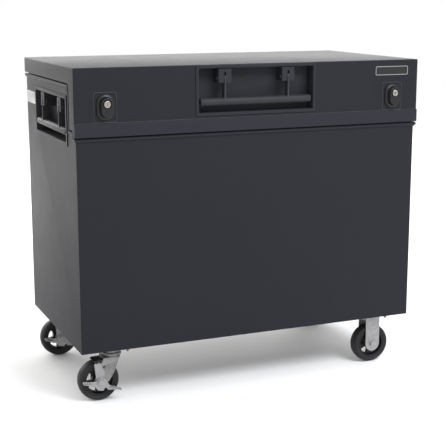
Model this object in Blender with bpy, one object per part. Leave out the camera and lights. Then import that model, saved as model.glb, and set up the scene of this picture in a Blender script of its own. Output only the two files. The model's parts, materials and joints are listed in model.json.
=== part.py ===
"""Rolling site chest: welded steel box, drop-front lid, recessed drop handles, four casters.

Metres, +Z up, the front faces -Y and the lid's width lies along X. The origin is on the floor,
under the centre of the whole chest. Every piece is closed as in use: lid shut and unlocked,
handles hanging, brakes off, swivel casters trailing towards -X.
"""

import math

import bmesh
import bpy
from mathutils import Matrix, Vector

# ---- overall sizes
LID_WIDTH = 1.335
LID_DEPTH = 0.7045
HEIGHT = 1.1905
LOCK_PROUD = 0.0265       # lock barrel's face in front of the lid
HINGE_PROUD = 0.0115      # hinge knuckles behind the lid
SHEET = 0.0025            # steel sheet
GAP = 0.0003              # between pieces that touch

# ---- planes
FRONT = (LOCK_PROUD - HINGE_PROUD - LID_DEPTH) / 2    # lid's front face
BACK = FRONT + LID_DEPTH                              # lid's and body's back face
LID_X = LID_WIDTH / 2
BODY_X = 0.6607           # body's side face, inside the lid's
BODY_FRONT = FRONT + 0.006
BODY_CENTRE_Y = (FRONT + BACK) / 2
BASE_Z = 0.1957           # underside of the body, on top of the casters
LID_GAP = 0.005           # between the body's rim and the lid

# ---- the body's rim, seen from the side
SIDE_RIM_Z = 1.130
FRONT_RIM_Z = 0.9545
LID_FRONT_Z = 0.957                 # lower edge of the lid's drop front
NOTCH_Z = 0.975
STEP_Y = FRONT + 0.0733
LID_STEP_Y = FRONT + 0.0673         # the lid's step stands further from the rim's than LID_GAP
NOTCH_Y = FRONT + 0.0283
STEP_RADIUS = 0.016
RIM_DEPTH = 0.028         # width of the rim's inward flange
HEM = 0.014               # height of its turned-down edge
BEAD_HEIGHT = 0.0165
FRONT_BEAD = 0.0075
SIDE_BEAD = 0.0066
SIDE_BEAD_FLAT = 0.008    # lower end of the side bead's upright face, below the rim
SIDE_BEAD_HEIGHT = 0.0135

# ---- lid
BAND_TOP_Z = 1.004
BAND_PROUD = 0.004

# ---- recessed handles
PAN_DEPTH = 0.048
PAN_PROUD = 0.0035        # outside of the pan's flange in front of the panel
PAN_SHEET = 0.002
PAN_CORNER = 0.0045       # outside radius of the tray's upright corners
HANDLE_TUBE_R = 0.014
HANDLE_TUBE_BORE_R = 0.0115
HANDLE_INSET = 0.009      # tube axis and pivot behind the panel's face
HANDLE_DROP = 0.0812      # tube axis below the pivot
ARM_THICKNESS = 0.0055
ARM_R = 0.012
PIN_R = 0.0035
PIN_BORE_R = 0.0039
PIN_HEAD_R = 0.0045
PIN_HEAD = 0.004
HOUSING_HALF = 0.025
HOUSING_PROUD = 0.001     # front of the pivot housings in front of the panel's face
SLOT_HALF = 0.0035
SLOT_RISE = 0.0217        # top of the arm's slot above the pivot

# ---- locks
LOCK_X = 0.558
SHROUD_Z = 1.0575
BARREL_Z = 1.069
BARREL_R = 0.0115
BOLT_SHUT_Z = 0.960       # lower end of a withdrawn bolt

# ---- hinge
HINGE_Y = BACK + 0.0058
HINGE_Z = 1.1305
KNUCKLE_R = 0.0057
HINGE_LENGTH = 1.26
KNUCKLES = 7

# ---- gas struts
STRUT_X = 0.618
STRUT_FOOT = (-0.2225, 1.0935)      # y, z of the stud on the body
STRUT_HEAD = (0.165, 1.155)         # y, z of the stud on the lid
STRUT_TUBE_R = 0.0095
STRUT_TUBE_LENGTH = 0.345
STRUT_ROD_R = 0.004
STRUT_ROD_LENGTH = 0.276

# ---- casters
CASTER_X = 0.5325
CASTER_Y = 0.276          # from the body's centre plane
WHEEL_R = 0.075
TRAIL = 0.052
PLATE_X = 0.065
PLATE_Y = 0.054
PLATE_T = 0.005
LEG_IN = 0.026
LEG_OUT = 0.030
AXLE_R = 0.006
AXLE_BORE_R = 0.0066
KINGPIN_R = 0.008

# colour, roughness, metallic
FINISHES = {
    "coat": ((0.048, 0.050, 0.056), 0.45, 0.0),
    "black_coat": ((0.030, 0.031, 0.034), 0.40, 0.0),
    "zinc": ((0.62, 0.62, 0.63), 0.38, 1.0),
    "steel": ((0.50, 0.50, 0.51), 0.30, 1.0),
    "chrome": ((0.80, 0.79, 0.78), 0.12, 1.0),
    "rubber": ((0.025, 0.025, 0.026), 0.70, 0.0),
    "core": ((0.020, 0.020, 0.022), 0.50, 0.0),
    "badge": ((0.016, 0.016, 0.017), 0.30, 0.0),
}

# ---- outlines are lists of two numbers, read along these axes and pushed along the third
PUSH = {
    "X": lambda a, b, depth: (depth, a, b),
    "Y": lambda a, b, depth: (a, depth, b),
    "Z": lambda a, b, depth: (a, b, depth),
}
# two directions across each axis, and the axis
TURN = {
    "X": (Vector((0, 1, 0)), Vector((0, 0, 1)), Vector((1, 0, 0))),
    "Y": (Vector((0, 0, 1)), Vector((1, 0, 0)), Vector((0, 1, 0))),
    "Z": (Vector((1, 0, 0)), Vector((0, 1, 0)), Vector((0, 0, 1))),
}


# ---------------------------------------------------------------- mesh helpers
def clear_scene():
    for obj in list(bpy.data.objects):
        bpy.data.objects.remove(obj, do_unlink=True)


def finish_material(name, finish):
    colour, roughness, metallic = FINISHES[finish]
    material = bpy.data.materials.new(name)
    material.use_nodes = True
    shader = material.node_tree.nodes["Principled BSDF"]
    shader.inputs["Base Color"].default_value = (*colour, 1.0)
    shader.inputs["Roughness"].default_value = roughness
    shader.inputs["Metallic"].default_value = metallic
    material.diffuse_color = (*colour, 1.0)
    return material


def solid(bm, name="tool"):
    """An object from a closed bmesh."""
    bmesh.ops.recalc_face_normals(bm, faces=bm.faces)
    mesh = bpy.data.meshes.new(name)
    bm.to_mesh(mesh)
    bm.free()
    obj = bpy.data.objects.new(name, mesh)
    bpy.context.scene.collection.objects.link(obj)
    return obj


def arc(centre, radius, start, end, steps):
    """Points on an arc, from one angle to another in degrees."""
    angles = [math.radians(start + (end - start) * i / steps) for i in range(steps + 1)]
    return [(centre[0] + radius * math.cos(a), centre[1] + radius * math.sin(a)) for a in angles]


def rounded_rectangle(centre, half_width, half_height, radius, steps=2):
    points = []
    for sx, sy, start in ((1, 1, 0), (-1, 1, 90), (-1, -1, 180), (1, -1, 270)):
        corner = (centre[0] + sx * (half_width - radius), centre[1] + sy * (half_height - radius))
        points += arc(corner, radius, start, start + 90, steps)
    return points


def plate(outline, axis, low, high, holes=()):
    """A flat plate with the given outline and holes."""
    bm = bmesh.new()
    edges = []
    for loop in (outline, *holes):
        verts = [bm.verts.new(PUSH[axis](a, b, low)) for a, b in loop]
        edges += [bm.edges.new((verts[i - 1], verts[i])) for i in range(len(verts))]
    filled = bmesh.ops.triangle_fill(bm, edges=edges, use_beauty=True, use_dissolve=False)
    faces = [item for item in filled["geom"] if isinstance(item, bmesh.types.BMFace)]
    pushed = bmesh.ops.extrude_face_region(bm, geom=faces)
    moved = [item for item in pushed["geom"] if isinstance(item, bmesh.types.BMVert)]
    bmesh.ops.translate(bm, verts=moved, vec=PUSH[axis](0, 0, high - low))
    return solid(bm)


def box(low, high):
    corners = [(low[0], low[1]), (high[0], low[1]), (high[0], high[1]), (low[0], high[1])]
    return plate(corners, "Z", low[2], high[2])


def box_across(x, y, z):
    """A box from its limits along each axis."""
    return box((min(x), min(y), min(z)), (max(x), max(y), max(z)))


def loft(loops):
    """A closed solid through loops of equally many points."""
    bm = bmesh.new()
    rings = [[bm.verts.new(point) for point in loop] for loop in loops]
    for first, second in zip(rings, rings[1:]):
        for i in range(len(first)):
            bm.faces.new((first[i - 1], first[i], second[i], second[i - 1]))
    bm.faces.new(rings[0])
    bm.faces.new(rings[-1])
    return solid(bm)


def turned(profile, axis, centre, segments):
    """A turned solid: radii and heights along the axis. A radius of 0 closes an end; with no
    such end the profile closes on itself, round a bore."""
    across, up, along = TURN[axis]
    bm = bmesh.new()
    rings = []
    for radius, height in profile:
        count = segments if radius > 0 else 1
        angles = [2 * math.pi * i / count for i in range(count)]
        points = [
            Vector(centre) + along * height + (across * math.cos(a) + up * math.sin(a)) * radius
            for a in angles
        ]
        rings.append([bm.verts.new(point) for point in points])
    if profile[0][0] > 0:
        rings.append(rings[0])
    for first, second in zip(rings, rings[1:]):
        for i in range(segments):
            if len(first) == 1:
                corners = [first[0], second[i], second[i - 1]]
            elif len(second) == 1:
                corners = [first[i - 1], first[i], second[0]]
            else:
                corners = [first[i - 1], first[i], second[i], second[i - 1]]
            bm.faces.new(corners)
    return solid(bm)


def rod(axis, centre, radius, low, high, segments=16):
    return turned([(0, low), (radius, low), (radius, high), (0, high)], axis, centre, segments)


def combined(base, joins=(), cuts=()):
    """The base joined with some tools and cut by others; the tools are used up."""
    for operation, tools in (("UNION", joins), ("DIFFERENCE", cuts)):
        for tool in tools:
            modifier = base.modifiers.new(operation, "BOOLEAN")
            modifier.operation = operation
            modifier.solver = "EXACT"
            modifier.object = tool
    graph = bpy.context.evaluated_depsgraph_get()
    mesh = bpy.data.meshes.new_from_object(base.evaluated_get(graph))
    base.modifiers.clear()
    base.data = mesh
    for tool in (*joins, *cuts):
        bpy.data.objects.remove(tool, do_unlink=True)
    return base


def node(obj, name, finish, origin=(0, 0, 0), smooth=None, parent=None):
    """Names the piece, gives it its material, and moves its origin without moving the piece."""
    obj.name = name
    obj.data.name = name
    obj.data.materials.clear()
    obj.data.materials.append(finish_material(name, finish))
    obj.data.transform(Matrix.Translation(-Vector(origin)))
    obj.location = origin
    obj.parent = parent
    if smooth:
        obj.data.shade_smooth()
        obj.data.set_sharp_from_angle(angle=math.radians(smooth))
    return obj


def offset_path(path, distance):
    """The path moved to its left by a distance, with mitred corners."""
    moved = []
    for i, point in enumerate(path):
        normals = []
        for start, end in ((path[i - 1], point) if i else (None, None),
                           (point, path[i + 1]) if i + 1 < len(path) else (None, None)):
            if start is not None:
                run = (Vector(end) - Vector(start)).normalized()
                normals.append(Vector((run.y, -run.x)))
        mean = sum(normals, Vector((0, 0)))
        mean /= 1 + normals[0].dot(normals[-1]) if len(normals) == 2 else 1
        moved.append(tuple(Vector(point) + mean * distance))
    return moved


# ---------------------------------------------------------------- body
def rim_path(step_y=STEP_Y, front_z=FRONT_RIM_Z):
    """The stepped upper edge of a body side, from back to front, as y and z."""
    corner = (step_y + STEP_RADIUS, SIDE_RIM_Z - STEP_RADIUS)
    return [
        (BACK - SHEET - GAP, SIDE_RIM_Z),
        *arc(corner, STEP_RADIUS, 90, 180, 4),
        (step_y, NOTCH_Z),
        (NOTCH_Y, NOTCH_Z),
        (NOTCH_Y, front_z),
        (BODY_FRONT + SHEET + GAP, front_z),
    ]


def rim_corner_cuts(y_low, y_high, z):
    """Takes an inward flange's ends away where the side rims pass."""
    inner = BODY_X - RIM_DEPTH - GAP
    return [box_across((s * inner, s * (BODY_X + 0.01)), (y_low, y_high), (z - 0.02, z + 0.01))
            for s in (-1, 1)]


def front_panel():
    """Front sheet with its rim: a pointed bead outside, a flange and a hem inside."""
    y, z = BODY_FRONT, FRONT_RIM_Z
    outline = [
        (y, BASE_Z),
        (y, z - BEAD_HEIGHT),
        (y - FRONT_BEAD + 0.001, z - 0.0105),
        (y - FRONT_BEAD, z - 0.008),
        (y - FRONT_BEAD + 0.001, z - 0.0055),
        (y, z),
        (y + RIM_DEPTH, z),
        (y + RIM_DEPTH, z - HEM),
        (y + RIM_DEPTH - SHEET, z - HEM),
        (y + RIM_DEPTH - SHEET, z - SHEET),
        (y + SHEET, z - SHEET),
        (y + SHEET, BASE_Z),
    ]
    panel = plate(outline, "X", -BODY_X, BODY_X)
    slots = [
        box_across((s * LOCK_X - 0.010, s * LOCK_X + 0.010), (FRONT + 0.0115, FRONT + 0.0215),
                   (z - 0.01, z + 0.01))
        for s in (-1, 1)
    ]
    corners = rim_corner_cuts(y + SHEET + GAP / 2, y + 0.04, z)
    panel = combined(panel, cuts=slots + corners)
    return node(panel, "body_front_panel", "coat", (0, y, BASE_Z))


def back_panel():
    y, z = BACK, SIDE_RIM_Z
    outline = [
        (y, BASE_Z),
        (y, z),
        (y - RIM_DEPTH, z),
        (y - RIM_DEPTH, z - HEM),
        (y - RIM_DEPTH + SHEET, z - HEM),
        (y - RIM_DEPTH + SHEET, z - SHEET),
        (y - SHEET, z - SHEET),
        (y - SHEET, BASE_Z),
    ]
    panel = plate(outline, "X", -BODY_X, BODY_X)
    panel = combined(panel, cuts=rim_corner_cuts(y - 0.04, y - SHEET - GAP / 2, z))
    return node(panel, "body_back_panel", "coat", (0, y, BASE_Z))


def side_panel(name, side):
    """Side sheet under the stepped rim, with the opening for its handle pan."""
    front_y = BODY_FRONT + SHEET + GAP
    edge = offset_path(rim_path(), -SHEET - GAP)
    outline = [(front_y, BASE_Z), (BACK - SHEET - GAP, BASE_Z), *edge]
    half = SIDE_HANDLE["half_width"] + PAN_SHEET + GAP
    middle = (SIDE_HANDLE["low"] + SIDE_HANDLE["high"]) / 2
    height = (SIDE_HANDLE["high"] - SIDE_HANDLE["low"]) / 2 + PAN_SHEET + GAP
    hole = rounded_rectangle((SIDE_HANDLE_Y, middle), half, height, PAN_CORNER)
    low, high = sorted((side * BODY_X, side * (BODY_X - SHEET)))
    panel = plate(outline, "X", low, high, [hole])
    return node(panel, name, "coat", (side * BODY_X, BODY_CENTRE_Y, BASE_Z))


def side_rim(name, side):
    """Folded edge trim that follows the step: bead outside, flange on top, hem inside."""
    section = [
        (GAP, -SIDE_BEAD_HEIGHT),
        (SIDE_BEAD, -SIDE_BEAD_FLAT),
        (SIDE_BEAD, -0.001),
        (SIDE_BEAD - 0.001, 0),
        (-RIM_DEPTH, 0),
        (-RIM_DEPTH, -HEM),
        (SHEET - RIM_DEPTH, -HEM),
        (SHEET - RIM_DEPTH, -SHEET),
        (GAP, -SHEET),
    ]
    lines = [offset_path(rim_path(), rise) for _, rise in section]
    loops = [
        [(side * (BODY_X + out), *line[i]) for (out, _), line in zip(section, lines)]
        for i in range(len(rim_path()))
    ]
    return node(loft(loops[::-side]), name, "coat", (side * BODY_X, STEP_Y, SIDE_RIM_Z))


def floor_panel():
    half = BODY_X - SHEET - GAP
    low = (-half, BODY_FRONT + SHEET + GAP, BASE_Z)
    high = (half, BACK - SHEET - GAP, BASE_Z + SHEET)
    return node(box(low, high), "body_floor", "coat", (0, BODY_CENTRE_Y, BASE_Z))


# ---------------------------------------------------------------- lid
def lid_front():
    """Drop front with its thicker lower band, cut for the handle pan and the lock barrels."""
    top = HEIGHT - SHEET - GAP
    low = LID_FRONT_Z
    outline = [
        (FRONT + SHEET, low),
        (FRONT + SHEET, top),
        (FRONT, top),
        (FRONT, BAND_TOP_Z),
        (FRONT - BAND_PROUD, BAND_TOP_Z - 0.002),
        (FRONT - BAND_PROUD, low),
    ]
    panel = plate(outline, "X", -LID_X, LID_X)
    half = FRONT_HANDLE["half_width"] + PAN_SHEET + GAP
    hole = box_across((FRONT_HANDLE_X - half, FRONT_HANDLE_X + half), (FRONT - 0.01, FRONT + 0.01),
                      (FRONT_HANDLE["low"] - PAN_SHEET - GAP, FRONT_HANDLE["high"] + PAN_SHEET + GAP))
    bores = [rod("Y", (s * LOCK_X, FRONT, BARREL_Z), 0.013, -0.01, 0.01, 24) for s in (-1, 1)]
    panel = combined(panel, cuts=[hole, *bores])
    return node(panel, "lid_front_panel", "coat", (0, FRONT, low))


def lid_top():
    panel = box((-LID_X, FRONT, HEIGHT - SHEET), (LID_X, BACK, HEIGHT))
    return node(panel, "lid_top_panel", "coat", (0, BODY_CENTRE_Y, HEIGHT))


def lid_back():
    low = (-LID_X, BACK - SHEET, SIDE_RIM_Z + LID_GAP)
    high = (LID_X, BACK, HEIGHT - SHEET - GAP)
    return node(box(low, high), "lid_back_flange", "coat", (0, BACK, low[2]))


def lid_side(name, side):
    """Lid side, whose lower edge follows the body's stepped rim at a small gap."""
    edge = offset_path(rim_path(LID_STEP_Y, LID_FRONT_Z - LID_GAP), LID_GAP)
    top = HEIGHT - SHEET - GAP
    outline = [
        (BACK - SHEET - GAP, top),
        *edge[:-1],
        (FRONT + SHEET + GAP, LID_FRONT_Z),
        (FRONT + SHEET + GAP, top),
    ]
    low, high = sorted((side * LID_X, side * (LID_X - SHEET)))
    return node(plate(outline, "X", low, high), name, "coat", (side * LID_X, BODY_CENTRE_Y, top))


def badge_plate():
    outline = rounded_rectangle((0.5545, 1.151), 0.0695, 0.017, 0.005)
    panel = plate(outline, "Y", FRONT - 0.0018, FRONT - GAP)
    return node(panel, "badge_plate", "badge", (0.5545, FRONT, 1.151))


# ---------------------------------------------------------------- recessed drop handles
# Each is built facing -Y about an empty on its pivot line at the panel's outer face.
FRONT_HANDLE = {
    "low": 1.0231, "high": 1.178, "pivot": 1.142, "half_width": 0.2225, "flange": 0.0105,
    "arms": 0.1229, "tube": 0.2149, "housing_low": 1.1265, "housing_high": 1.1755,
}
SIDE_HANDLE = {
    "low": 0.9278, "high": 1.0793, "pivot": 1.0449, "half_width": 0.2115, "flange": 0.012,
    "arms": 0.1175, "tube": 0.205, "housing_low": 1.0265, "housing_high": 1.0765,
}
FRONT_HANDLE_X = 0.0024
SIDE_HANDLE_Y = BODY_CENTRE_Y - 0.017


def handle_place(name, location, turn):
    place = bpy.data.objects.new(name, None)
    place.location = location
    place.rotation_euler = (0, 0, math.radians(turn))
    bpy.context.scene.collection.objects.link(place)
    return place


def handle_pan(name, size, place):
    """Pressed tray with a flange on the outside and two slotted pivot housings welded in."""
    low, high = size["low"] - size["pivot"], size["high"] - size["pivot"]
    centre = (0, (low + high) / 2)
    width, height = size["half_width"], (high - low) / 2

    def ring(grow, y, radius):
        outline = rounded_rectangle(centre, width + grow, height + grow, radius)
        return [(x, y, z) for x, z in outline]

    tray = loft([
        ring(PAN_SHEET, PAN_DEPTH + PAN_SHEET, PAN_CORNER),
        ring(PAN_SHEET, -GAP, PAN_CORNER),
        ring(size["flange"], -GAP, 0.005),
        ring(size["flange"], -PAN_PROUD, 0.005),
        ring(0, -PAN_PROUD, PAN_CORNER - PAN_SHEET),
        ring(0, PAN_DEPTH, PAN_CORNER - PAN_SHEET),
    ])
    blocks, cuts = [], []
    foot = size["housing_low"] - size["pivot"]
    head = size["housing_high"] - size["pivot"]
    for x in (-size["arms"], size["arms"]):
        blocks.append(box_across((x - HOUSING_HALF, x + HOUSING_HALF),
                                 (-HOUSING_PROUD, PAN_DEPTH + 0.001), (foot, head)))
        cuts.append(box_across((x - HOUSING_HALF + 0.0025, x + HOUSING_HALF - 0.0025),
                               (0.0025 - HOUSING_PROUD, PAN_DEPTH - 0.0008),
                               (foot - 0.01, head - 0.0025)))
        cuts.append(box_across((x - SLOT_HALF, x + SLOT_HALF), (-0.01, 0.01), (foot - 0.01, SLOT_RISE)))
        cuts.append(rod("X", (x, HANDLE_INSET, 0), PIN_BORE_R, -0.03, 0.03))
    return node(combined(tray, blocks, cuts), name, "coat", parent=place)


def drop_handle(name, size, place):
    """Tube on two coped arms, with the headed pins that turn in the housings."""
    axis = (0, HANDLE_INSET, -HANDLE_DROP)
    half = size["tube"]
    profile = [
        (HANDLE_TUBE_BORE_R, -half),
        (HANDLE_TUBE_R, -half),
        (HANDLE_TUBE_R, half),
        (HANDLE_TUBE_BORE_R, half),
    ]
    tube = turned(profile, "X", axis, 20)
    cope_r = (HANDLE_TUBE_R + HANDLE_TUBE_BORE_R) / 2
    tilt = math.degrees(math.acos(ARM_R / cope_r))
    outline = [
        *arc((HANDLE_INSET, 0), ARM_R, 0, 180, 6),
        *arc((HANDLE_INSET, -HANDLE_DROP), cope_r, 180 - tilt, tilt, 4),
    ]
    parts = []
    for x in (-size["arms"], size["arms"]):
        parts.append(plate(outline, "X", x - ARM_THICKNESS / 2, x + ARM_THICKNESS / 2))
        reach = HOUSING_HALF + 0.0005 + PIN_HEAD
        neck = reach - PIN_HEAD
        pin = [(0, -reach), (PIN_HEAD_R, -reach), (PIN_HEAD_R, -neck), (PIN_R, -neck),
               (PIN_R, neck), (PIN_HEAD_R, neck), (PIN_HEAD_R, reach), (0, reach)]
        parts.append(turned(pin, "X", (x, HANDLE_INSET, 0), 10))
    handle = combined(tube, parts)
    return node(handle, name, "coat", (0, HANDLE_INSET, 0), 40, place)


def handles():
    front = handle_place("front_handle_place", (FRONT_HANDLE_X, FRONT, FRONT_HANDLE["pivot"]), 0)
    handle_pan("front_handle_pan", FRONT_HANDLE, front)
    drop_handle("front_handle", FRONT_HANDLE, front)
    for side, word in ((-1, "left"), (1, "right")):
        location = (side * BODY_X, SIDE_HANDLE_Y, SIDE_HANDLE["pivot"])
        place = handle_place(word + "_handle_place", location, side * 90)
        handle_pan(word + "_handle_pan", SIDE_HANDLE, place)
        drop_handle(word + "_handle", SIDE_HANDLE, place)


# ---------------------------------------------------------------- locks
def lock_shroud(name, x):
    """Stepped oval boss round the key barrel, with a bore for it."""
    def oval(half_width, half_height, proud, steps=6):
        top = arc((x, SHROUD_Z + half_height - half_width), half_width, 0, 180, steps)
        bottom = arc((x, SHROUD_Z - half_height + half_width), half_width, 180, 360, steps)
        return [(a, FRONT - proud, b) for a, b in (*top, *bottom)]

    boss = loft([
        oval(0.0315, 0.044, GAP),
        oval(0.0315, 0.044, 0.006),
        oval(0.0285, 0.041, 0.0085),
        oval(0.0235, 0.036, 0.0085),
        oval(0.0205, 0.033, 0.0245),
        oval(0.0190, 0.0315, 0.0255),
    ])
    bore = rod("Y", (x, FRONT, BARREL_Z), BARREL_R + 0.0006, -0.04, 0.02, 20)
    sink = turned([(0, -0.03), (0.0165, -0.03), (0.0125, -0.0215), (0, -0.0215)], "Y",
                  (x, FRONT, BARREL_Z), 20)
    return node(combined(boss, cuts=[bore, sink]), name, "black_coat", (x, FRONT, SHROUD_Z), 35)


def lock_barrel(name, x):
    profile = [(0, 0.0105), (BARREL_R, 0.0105), (BARREL_R, 0.001 - LOCK_PROUD),
               (BARREL_R - 0.001, -LOCK_PROUD), (0, -LOCK_PROUD)]
    barrel = turned(profile, "Y", (x, FRONT, BARREL_Z), 20)
    keyway = box_across((x - 0.0012, x + 0.0012), (FRONT - 0.03, FRONT - 0.018),
                        (BARREL_Z - 0.002, BARREL_Z + 0.0075))
    return node(combined(barrel, cuts=[keyway]), name, "chrome", (x, FRONT, BARREL_Z), 30)


def lock_case(name, x):
    """Deadlock case inside the drop front: a channel for the bolt and a bore for the barrel."""
    case = box_across((x - 0.040, x + 0.040), (FRONT + SHEET + GAP, FRONT + 0.0268), (1.010, 1.106))
    channel = box_across((x - 0.0076, x + 0.0076), (FRONT + 0.0129, FRONT + 0.0201), (1.0, 1.101))
    bore = rod("Y", (x, FRONT, BARREL_Z), BARREL_R + 0.0006, -0.01, 0.0155, 24)
    return node(combined(case, cuts=[channel, bore]), name, "zinc", (x, FRONT, SHROUD_Z))


def lock_bolt(name, x):
    low = (x - 0.007, FRONT + 0.0135, BOLT_SHUT_Z)
    high = (x + 0.007, FRONT + 0.0195, 1.075)
    return node(box(low, high), name, "steel", (x, FRONT + 0.0165, BOLT_SHUT_Z))


def locks():
    for side, word in ((-1, "left"), (1, "right")):
        lock_shroud(word + "_lock_shroud", side * LOCK_X)
        lock_barrel(word + "_lock_barrel", side * LOCK_X)
        lock_case(word + "_lock_case", side * LOCK_X)
        lock_bolt(word + "_lock_bolt", side * LOCK_X)


# ---------------------------------------------------------------- hinge
def hinge_leaf(name, reach, first):
    """A leaf whose teeth end in every other knuckle. The reach is how far it runs from the pin,
    below it for the body's leaf and above it for the lid's."""
    pitch = HINGE_LENGTH / KNUCKLES
    start = -HINGE_LENGTH / 2
    clear = math.copysign(KNUCKLE_R + 0.0005, reach)
    edge, knuckles = [], []
    for i in range(KNUCKLES):
        left, right = start + i * pitch + GAP, start + (i + 1) * pitch - GAP
        own = i % 2 == first
        height = HINGE_Z if own else HINGE_Z + clear
        edge += [(left if own else left - 2 * GAP, height), (right if own else right + 2 * GAP, height)]
        if own:
            profile = [(0.0029, left), (KNUCKLE_R, left), (KNUCKLE_R, right), (0.0029, right)]
            knuckles.append(turned(profile, "X", (0, HINGE_Y, HINGE_Z), 10))
    outline = [*edge, (edge[-1][0], HINGE_Z + reach), (edge[0][0], HINGE_Z + reach)]
    leaf = plate(outline, "Y", BACK + GAP, BACK + GAP + 0.002)
    channel = rod("X", (0, HINGE_Y, HINGE_Z), 0.0029, -0.7, 0.7, 10)
    return node(combined(leaf, knuckles, [channel]), name, "coat", (0, HINGE_Y, HINGE_Z))


def hinge():
    hinge_leaf("hinge_body_leaf", -0.036, 0)
    hinge_leaf("hinge_lid_leaf", 0.036, 1)
    half = HINGE_LENGTH / 2
    pin = rod("X", (0, HINGE_Y, HINGE_Z), 0.0025, -half, half, 10)
    node(pin, "hinge_pin", "zinc", (0, HINGE_Y, HINGE_Z), 30)


# ---------------------------------------------------------------- gas struts
def foot_bracket(name, side):
    """Stud on a small plate, welded inside the body side."""
    y, z = STRUT_FOOT
    wall = BODY_X - SHEET - GAP
    base = box_across((side * wall, side * (wall - 0.003)), (y - 0.016, y + 0.016), (z - 0.0095, z + 0.018))
    stud = rod("X", (0, y, z), 0.004, *sorted((side * (wall - 0.001), side * (STRUT_X - 0.009))))
    return node(combined(base, [stud]), name, "zinc", (side * STRUT_X, y, z))


def head_bracket(name, side):
    """Plate hanging from the lid's underside, with the stud that the strut's eye runs beside."""
    y, z = STRUT_HEAD
    top = HEIGHT - SHEET - GAP
    hanger = box_across((side * 0.6285, side * 0.6315), (y - 0.018, y + 0.018), (z - 0.014, top))
    foot = box_across((side * 0.6295, side * 0.6545), (y - 0.018, y + 0.018), (top - 0.003, top))
    stud = rod("X", (0, y, z), 0.004, *sorted((side * 0.630, side * (STRUT_X + 0.0053))))
    return node(combined(hanger, [foot, stud]), name, "zinc", (side * STRUT_X, y, z))


def strut_part(name, side, finish, profile, eye_at):
    """A turned strut piece along the line between the studs, with an eye at one end."""
    x = side * STRUT_X
    body = turned(profile, "Z", (0, 0, 0), 16)
    eye = rod("X", (0, 0, eye_at), 0.010, -0.005, 0.005)
    hole = rod("X", (0, 0, eye_at), 0.0045, -0.02, 0.02)
    body = combined(body, [eye], [hole])
    y, z = STRUT_FOOT
    lean = math.atan2(STRUT_HEAD[0] - y, STRUT_HEAD[1] - z)
    body.data.transform(Matrix.Rotation(-lean, 4, "X"))
    body.data.transform(Matrix.Translation((x, y, z)))
    return node(body, name, finish, (x, y, z), 30)


def gas_strut(side, word):
    """Cylinder with an open bore from 0.1 m on, and the rod in it."""
    length = math.dist(STRUT_FOOT, STRUT_HEAD)
    end, bore = STRUT_TUBE_LENGTH, STRUT_ROD_R + 0.0005
    tube = [(0, 0.0075), (STRUT_TUBE_R, 0.0075), (STRUT_TUBE_R, end - 0.002), (STRUT_TUBE_R - 0.002, end),
            (bore, end), (bore, 0.1), (0, 0.1)]
    strut_part(word + "_strut_cylinder", side, "black_coat", tube, 0)
    start = length - STRUT_ROD_LENGTH
    shaft = [(0, start), (STRUT_ROD_R, start), (STRUT_ROD_R, length - 0.0075), (0, length - 0.0075)]
    strut_part(word + "_strut_rod", side, "chrome", shaft, length)


def struts():
    for side, word in ((-1, "left"), (1, "right")):
        foot_bracket(word + "_strut_foot_bracket", side)
        head_bracket(word + "_strut_head_bracket", side)
        gas_strut(side, word)


# ---------------------------------------------------------------- casters
def tyre(name, centre):
    half = [(0.0553, 0.0215), (0.067, 0.0230), (0.0730, 0.018), (WHEEL_R, 0.008)]
    profile = [(r, -h) for r, h in half] + [(r, h) for r, h in reversed(half)]
    return node(turned(profile, "Y", centre, 28), name, "rubber", centre, 30)


def wheel_core(name, centre):
    """Cast core: rim, five-spoked web and hub."""
    x, y, z = centre
    windows = []
    for i in range(5):
        middle = 90 + 72 * i
        windows.append(arc((x, z), 0.0455, middle - 27, middle + 27, 3)
                       + arc((x, z), 0.0235, middle + 19, middle - 19, 1))
    web = plate(arc((x, z), 0.0525, 0, 345, 23), "Y", y - 0.007, y + 0.007, windows)
    rim = turned([(0.048, -0.0205), (0.055, -0.0205), (0.055, 0.0205), (0.048, 0.0205)], "Y", centre, 28)
    hub = rod("Y", centre, 0.018, -0.0255, 0.0255, 14)
    bore = rod("Y", centre, AXLE_BORE_R, -0.04, 0.04)
    return node(combined(web, [rim, hub], [bore]), name, "core", centre, 35)


def axle(name, centre, outer):
    """Axle bolt with its head outside the given face, and the nut on the other side."""
    profile = [
        (0, outer - 0.0092), (0.0105, outer - 0.0092), (0.0105, outer - 0.0018), (0.0130, outer - 0.0018),
        (0.0130, outer - GAP), (AXLE_R, outer - GAP), (AXLE_R, LEG_OUT + GAP), (0.0105, LEG_OUT + GAP),
        (0.0105, LEG_OUT + 0.009), (0, LEG_OUT + 0.009),
    ]
    return node(turned(profile, "Y", centre, 12), name, "zinc", centre, 25)


def mounting_plate(x, y):
    """Caster top plate with the nuts and bolt ends that stand below it."""
    top = BASE_Z - GAP
    base = box((x - PLATE_X, y - PLATE_Y, top - PLATE_T), (x + PLATE_X, y + PLATE_Y, top))
    nut = [(0, 0.172), (0.006, 0.172), (0.006, 0.1795), (0.0105, 0.1795), (0.0105, top - 0.001),
           (0, top - 0.001)]
    nuts = [turned(nut, "Z", (x + dx, y + dy, 0), 6) for dx in (-0.0495, 0.0495) for dy in (-0.038, 0.038)]
    return combined(base, nuts)


def legs(outline, axle_centre, holes=()):
    """The two cheeks of a fork."""
    bore = arc((axle_centre[0], axle_centre[2]), AXLE_BORE_R, 0, 360 - 22.5, 15)
    y = axle_centre[1]
    return [plate(outline, "Y", y + low, y + high, [bore, *holes])
            for low, high in ((-LEG_OUT, -LEG_IN), (LEG_IN, LEG_OUT))]


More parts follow.
